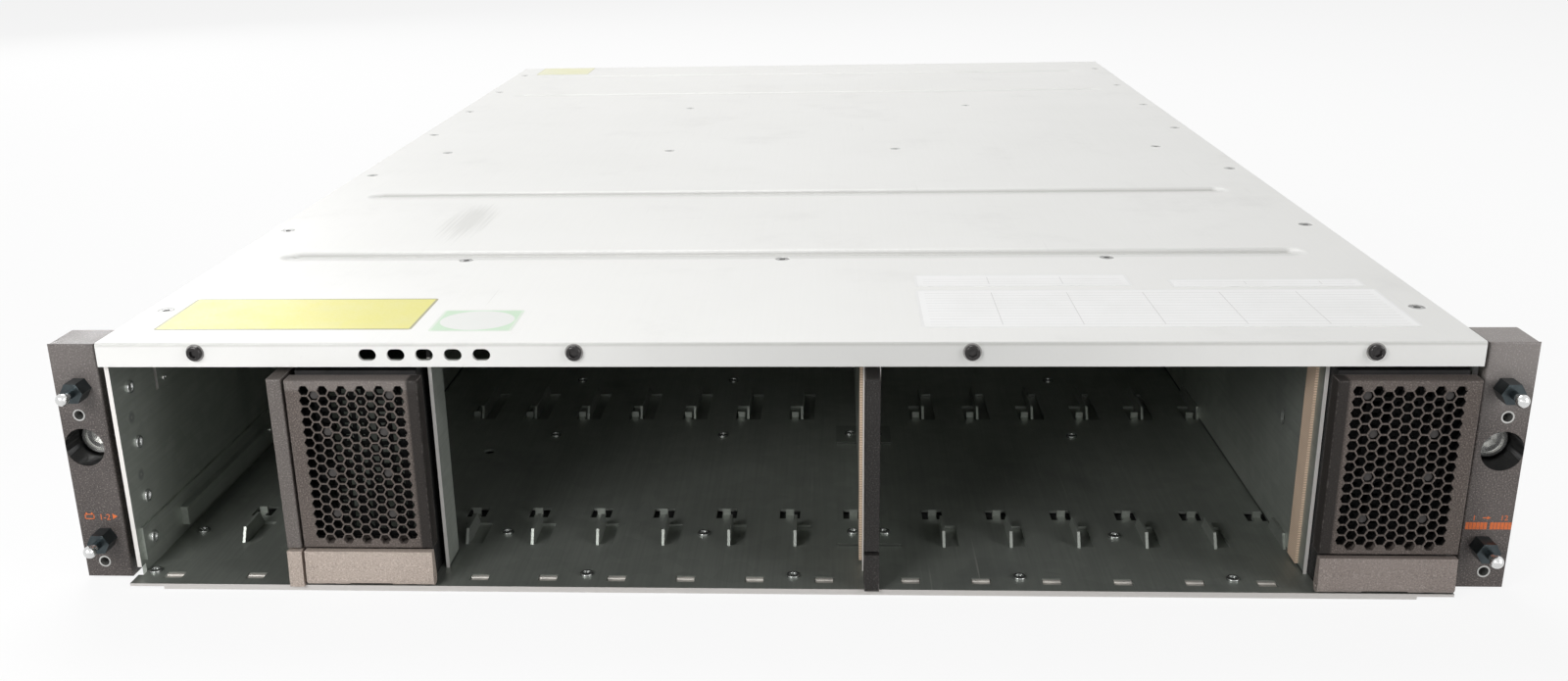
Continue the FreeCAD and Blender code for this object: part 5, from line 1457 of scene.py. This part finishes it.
paperFinish = {
    "yellow": {"body": (0.76, 0.71, 0.16), "faded": (0.74, 0.70, 0.23), "border": (0.34, 0.32, 0.17)},
    "paleYellow": {"body": (0.80, 0.79, 0.52), "faded": (0.81, 0.80, 0.60), "border": (0.66, 0.65, 0.46)},
    "greenEdged": {"body": (0.56, 0.74, 0.55), "faded": (0.62, 0.77, 0.60), "border": (0.70, 0.78, 0.68),
                   "oval": (0.80, 0.81, 0.78)},
    "white": {"body": (0.95, 0.95, 0.94), "faded": (0.90, 0.90, 0.885), "border": (0.84, 0.84, 0.83),
              "rule": (0.68, 0.67, 0.66)},
}
formRules = {"pitch": (26.5 * mm, 3.1 * mm), "line": 0.3 * mm, "margin": 3.0 * mm}


def makePaperMaterial(name, colours, low, high):
    # Blank paper with a printed border line and a little fading
    look = labelSheet
    material, tree, inputs, where = newMaterial(name)
    grain = grainOf(tree, where, look["grain"])
    marks = useGroup(tree, marksGroup, Vector=where)
    axes = splitAxes(tree, where)
    inside = []
    for axis, lowEdge, highEdge in zip(axes, low, high):
        inside += [minus(tree, axis, lowEdge), minus(tree, highEdge, axis)]
    margin = smallest(tree, *inside)
    fading = rangeNode(tree, grain["Blotches"], *look["fadeSpan"])
    printed = mixColour(tree, fading, colours["body"], colours["faded"])
    printed = mixColour(tree, rangeNode(tree, margin, *look["borderSpan"]), printed, colours["border"])
    if "oval" in colours:
        # A blank oval in the middle of the sheet
        away = spotMask(tree, axes, (low + high) / 2, (high - low) * look["ovalShare"] / 2)
        printed = mixColour(tree, rangeNode(tree, away, *look["ovalRim"]), printed, colours["oval"])
    if "rule" in colours:
        # Empty rows and columns of a blank form
        rules = []
        for axis, start, pitch in zip(axes, low, formRules["pitch"]):
            step = mathNode(tree, "FRACT", divided(tree, minus(tree, axis, start), pitch))
            rules.append(isUnder(tree, step, formRules["line"] / pitch))
        ruled = times(tree, largest(tree, *rules), isOver(tree, margin, formRules["margin"]))
        printed = mixColour(tree, ruled, printed, colours["rule"])
    rubbed = mixColour(tree, times(tree, marks["Scratches"], look["rubShare"]), printed, colours["faded"])
    setLook(tree, inputs, rubbed, spread(tree, grain["Grain"], *look["roughness"]))
    addBump(tree, inputs, grain["Grain"], look["bump"])
    return material


def makeLabels():
    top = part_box("top_cover")[1].z
    for name, label in coverLabels.items():
        low, high = (Vector(corner) * mm for corner in zip(label["x"], label["y"]))
        piece = addSheet(high - low, labelSheet["corner"], segments=4, place=(*(low + high) / 2, top))
        applyModifier(piece, "SOLIDIFY", thickness=labelSheet["thickness"] * mm, offset=1.0)
        paper = makePaperMaterial(name + "Paper", paperFinish[label["paper"]], low, high)
        finishPiece(piece, name, paper, "chassis")
    print("labels placed:", len(coverLabels))


makeLabels()


# Orange slot marks printed on the ears
inkFinish = {
    "grain": (0.5, 3.0),
    "ink": (0.72, 0.16, 0.035),
    "faded": (0.55, 0.13, 0.04),
    "fadeSpan": (0.45, 0.65),
    "roughness": (0.45, 0.6),
    "bump": (0.1, 0.1 * mm),
}
earMarks = {
    "proud": 0.04,
    "left": {"text": "1-2", "size": 3.1, "x": -233.6, "z": 22.9},
    "leftArrow": {"x": -227.0, "z": 24.2, "width": 1.7, "height": 2.1},
    "batteryIcon": {"x": -236.9, "z": 24.1, "width": 3.4, "height": 2.0, "line": 0.32, "post": 0.5},
    "rightFirst": {"text": "1", "size": 2.6, "x": 228.0, "z": 25.5},
    "rightLast": {"text": "12", "size": 2.6, "x": 236.9, "z": 25.5},
    "rightArrow": {"x": 234.0, "z": 26.4, "width": 1.2, "height": 1.2, "shaft": 1.4, "line": 0.36},
    "bars": {"x": (226.2, 241.0), "z": (22.3, 24.8), "count": 12, "gap": 0.16, "middle": 0.8},
}


def makeInkMaterial():
    look = inkFinish
    material, tree, inputs, where = newMaterial("orangeInk")
    grain = grainOf(tree, where, look["grain"])
    colour = mixColour(tree, rangeNode(tree, grain["Grain"], *look["fadeSpan"]), look["ink"], look["faded"])
    setLook(tree, inputs, colour, spread(tree, grain["Blotches"], *look["roughness"]))
    addBump(tree, inputs, grain["Grain"], *look["bump"])
    return material


def addFlat(corners, face):
    # A flat printed shape on the ear's front face, from corners in X and Z millimetres
    piece = addShape(bpy.ops.mesh.primitive_circle_add, vertices=len(corners), radius=mm, fill_type="NGON")
    for vertex, (x, z) in zip(piece.data.vertices, corners):
        vertex.co = (x * mm, face, z * mm)
    enterEdit()
    faceOutward()
    extrudeBy(0.0, -earMarks["proud"] * mm, 0.0)
    faceOutward()
    leaveEdit()
    return piece


def rectangle(x, z):
    return [(x[0], z[0]), (x[1], z[0]), (x[1], z[1]), (x[0], z[1])]


def addNumbers(mark, face):
    place = (mark["x"] * mm, face, mark["z"] * mm)
    text = addShape(bpy.ops.object.text_add, location=place, rotation=(math.pi / 2, 0.0, 0.0))
    text.data.body = mark["text"]
    text.data.size = mark["size"] * mm
    text.data.extrude = earMarks["proud"] * mm
    bpy.ops.object.convert(target="MESH")
    return bpy.context.active_object


def arrowCorners(arrow):
    half = arrow["height"] / 2
    return [(arrow["x"] - arrow["width"], arrow["z"] - half), (arrow["x"], arrow["z"]),
            (arrow["x"] - arrow["width"], arrow["z"] + half)]


def makeEarMarks():
    ink = makeInkMaterial()
    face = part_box("left_ear")[0].y
    icon = earMarks["batteryIcon"]
    x = (icon["x"] - icon["width"] / 2, icon["x"] + icon["width"] / 2)
    z = (icon["z"] - icon["height"] / 2, icon["z"] + icon["height"] / 2)
    line, post = icon["line"], icon["post"]
    outline = [rectangle(x, (edge, edge + line)) for edge in (z[0], z[1] - line)]
    outline += [rectangle((edge, edge + line), z) for edge in (x[0], x[1] - line)]
    posts = (x[0] + post, x[1] - 2 * post)
    outline += [rectangle((edge, edge + post), (z[1], z[1] + post)) for edge in posts]
    pieces = [addFlat(corners, face) for corners in outline]
    pieces.append(addNumbers(earMarks["left"], face))
    pieces.append(addFlat(arrowCorners(earMarks["leftArrow"]), face))
    finishPiece(joinPieces(pieces), "batterySlotMark", ink, "chassis")

    bars = earMarks["bars"]
    pitch = (bars["x"][1] - bars["x"][0] - bars["middle"]) / bars["count"]
    pieces = []
    for k in range(bars["count"]):
        # Two equal groups with a wider gap between them
        start = bars["x"][0] + k * pitch + bars["middle"] * (2 * k // bars["count"])
        pieces.append(addFlat(rectangle((start, start + pitch - bars["gap"]), bars["z"]), face))
    pieces += [addNumbers(earMarks["rightFirst"], face), addNumbers(earMarks["rightLast"], face)]
    arrow = earMarks["rightArrow"]
    pieces.append(addFlat(arrowCorners(arrow), face))
    shaftEnd = arrow["x"] - arrow["width"]
    shaftHeight = (arrow["z"] - arrow["line"] / 2, arrow["z"] + arrow["line"] / 2)
    pieces.append(addFlat(rectangle((shaftEnd - arrow["shaft"], shaftEnd), shaftHeight), face))
    finishPiece(joinPieces(pieces), "flashSlotMark", ink, "chassis")
    print("ear marks printed")


makeEarMarks()


# Floor, lights and camera
stageLook = {
    "floorSize": 20.0,
    "floorLevel": -0.2 * mm,
    "white": (0.95, 0.95, 0.95),
    "under": (0.07, 0.07, 0.07),
    "underInset": (14.0 * mm, 4.0 * mm),
    "shadowShare": 0.12,
    "worldColour": (0.95, 0.97, 1.0),
    "worldStrength": 0.08,
}


def seenDirectly(tree):
    # 1 for the camera's rays, and for those that a shiny or clear piece sends on
    light = addNode(tree, "ShaderNodeLightPath")
    return largest(tree, *(light.outputs[f"Is {kind} Ray"] for kind in ("Camera", "Glossy", "Transmission")))


def mixShaders(tree, output, share, first, second):
    mix = addNode(tree, "ShaderNodeMixShader")
    for socket, source in zip(mix.inputs, (share, first.outputs[0], second.outputs[0])):
        feed(tree, socket, source)
    tree.links.new(mix.outputs[0], output.inputs["Surface"])


def makeFloor():
    floor = addShape(bpy.ops.mesh.primitive_plane_add, size=stageLook["floorSize"],
                     location=(0.0, 0.0, stageLook["floorLevel"]))
    floor.name = "studioFloor"
    material = bpy.data.materials.new("paleFloor")
    tree = emptyTree(material)
    paint = addNode(tree, "ShaderNodeBsdfDiffuse")
    glow = addNode(tree, "ShaderNodeEmission")
    # Under the chassis the floor is painted dark, a painted shadow that is seen through the floor pan's
    # windows
    low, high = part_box("floor_pan")
    axes = splitAxes(tree, addNode(tree, "ShaderNodeTexCoord").outputs["Object"])
    outside = []
    for axis, near, far, inset in zip(axes, low[:2], high[:2], stageLook["underInset"]):
        outside += [isUnder(tree, axis, near + inset), isOver(tree, axis, far - inset)]
    beyond = largest(tree, *outside)
    feed(tree, paint.inputs["Color"], mixColour(tree, beyond, stageLook["under"], stageLook["white"]))
    share = times(tree, seenDirectly(tree), beyond, 1.0 - stageLook["shadowShare"])
    mixShaders(tree, addNode(tree, "ShaderNodeOutputMaterial"), share, paint, glow)
    floor.data.materials.append(material)


def makeWorld():
    world = bpy.data.worlds.new("paleStudio")
    bpy.context.scene.world = world
    tree = emptyTree(world)
    soft = addNode(tree, "ShaderNodeBackground")
    soft.inputs["Color"].default_value = (*stageLook["worldColour"], 1.0)
    soft.inputs["Strength"].default_value = stageLook["worldStrength"]
    plain = addNode(tree, "ShaderNodeBackground")
    plain.inputs["Color"].default_value = (1.0, 1.0, 1.0, 1.0)
    mixShaders(tree, addNode(tree, "ShaderNodeOutputWorld"), seenDirectly(tree), soft, plain)


softboxes = {
    "nearBox": {"place": (-0.38, -0.50, 0.38), "aim": (-0.15, 0.0, 0.04), "size": (0.3, 0.2), "power": 2.8},
    "rightBox": {"place": (1.20, -0.90, 0.35), "aim": (0.2, 0.0, 0.05), "size": (0.5, 0.4), "power": 4.4},
    "rightSide": {"place": (0.75, -0.35, 0.50), "aim": (0.24, 0.0, 0.06), "size": (0.3, 0.3), "power": 1.5},
    "backTop": {"place": (-0.3, 1.2, 1.6), "aim": (0.0, 0.3, 0.09), "size": (1.2, 0.8), "power": 22.0},
    "backBox": {"place": (-1.2, 1.8, 0.7), "aim": (-0.23, 0.0, 0.09), "size": (0.6, 0.4), "power": 6.0},
    "frontFill": {"place": (0.0, -1.7, 0.45), "aim": (0.0, 0.1, 0.04), "size": (1.8, 0.4), "power": 1.2},
}


def makeLights():
    for name, lamp in softboxes.items():
        data = bpy.data.lights.new(name, "AREA")
        data.shape = "RECTANGLE"
        data.size, data.size_y = lamp["size"]
        data.energy = lamp["power"]
        box = bpy.data.objects.new(name, data)
        bpy.context.scene.collection.objects.link(box)
        place = Vector(lamp["place"])
        box.location = place
        box.rotation_euler = (Vector(lamp["aim"]) - place).to_track_quat("-Z", "Y").to_euler()


# The camera that fits the photograph's edges: lengths in metres, angles in radians
cameraFit = {
    "place": (0.0196811, -0.4564996, 0.2296076),
    "pitch": 0.3224,
    "yaw": 0.0607,
    "roll": -0.0202,
    "focal": 1466.837,  # pixels
    "centre": (765.51, 363.82),  # pixels
    "image": (1600, 695),  # pixels
    "sensor": 36.0,  # millimetres
    "clip": 0.01,
}


def makeCamera():
    width, height = cameraFit["image"]
    yaw, pitch, roll = cameraFit["yaw"], cameraFit["pitch"], cameraFit["roll"]
    side = Vector((math.cos(yaw), math.sin(yaw), 0.0))
    ahead = Vector((-math.sin(yaw), math.cos(yaw), 0.0))
    above = Vector((0.0, 0.0, 1.0))
    forward = math.cos(pitch) * ahead - math.sin(pitch) * above
    up = math.sin(pitch) * ahead + math.cos(pitch) * above
    right = math.cos(roll) * side + math.sin(roll) * up
    top = -math.sin(roll) * side + math.cos(roll) * up
    turn = Matrix((right, top, -forward)).transposed()
    data = bpy.data.cameras.new("photoCamera")
    data.sensor_width = cameraFit["sensor"]
    data.lens = cameraFit["focal"] / width * cameraFit["sensor"]
    data.shift_x = (width / 2 - cameraFit["centre"][0]) / width
    data.shift_y = (cameraFit["centre"][1] - height / 2) / width
    data.clip_start = cameraFit["clip"]
    camera = bpy.data.objects.new("photoCamera", data)
    bpy.context.scene.collection.objects.link(camera)
    camera.matrix_world = Matrix.Translation(cameraFit["place"]) @ turn.to_4x4()
    bpy.context.scene.camera = camera


makeFloor()
makeWorld()
makeLights()
makeCamera()
bpy.context.scene.view_settings.view_transform = "Standard"
print("stage, lights and camera set")
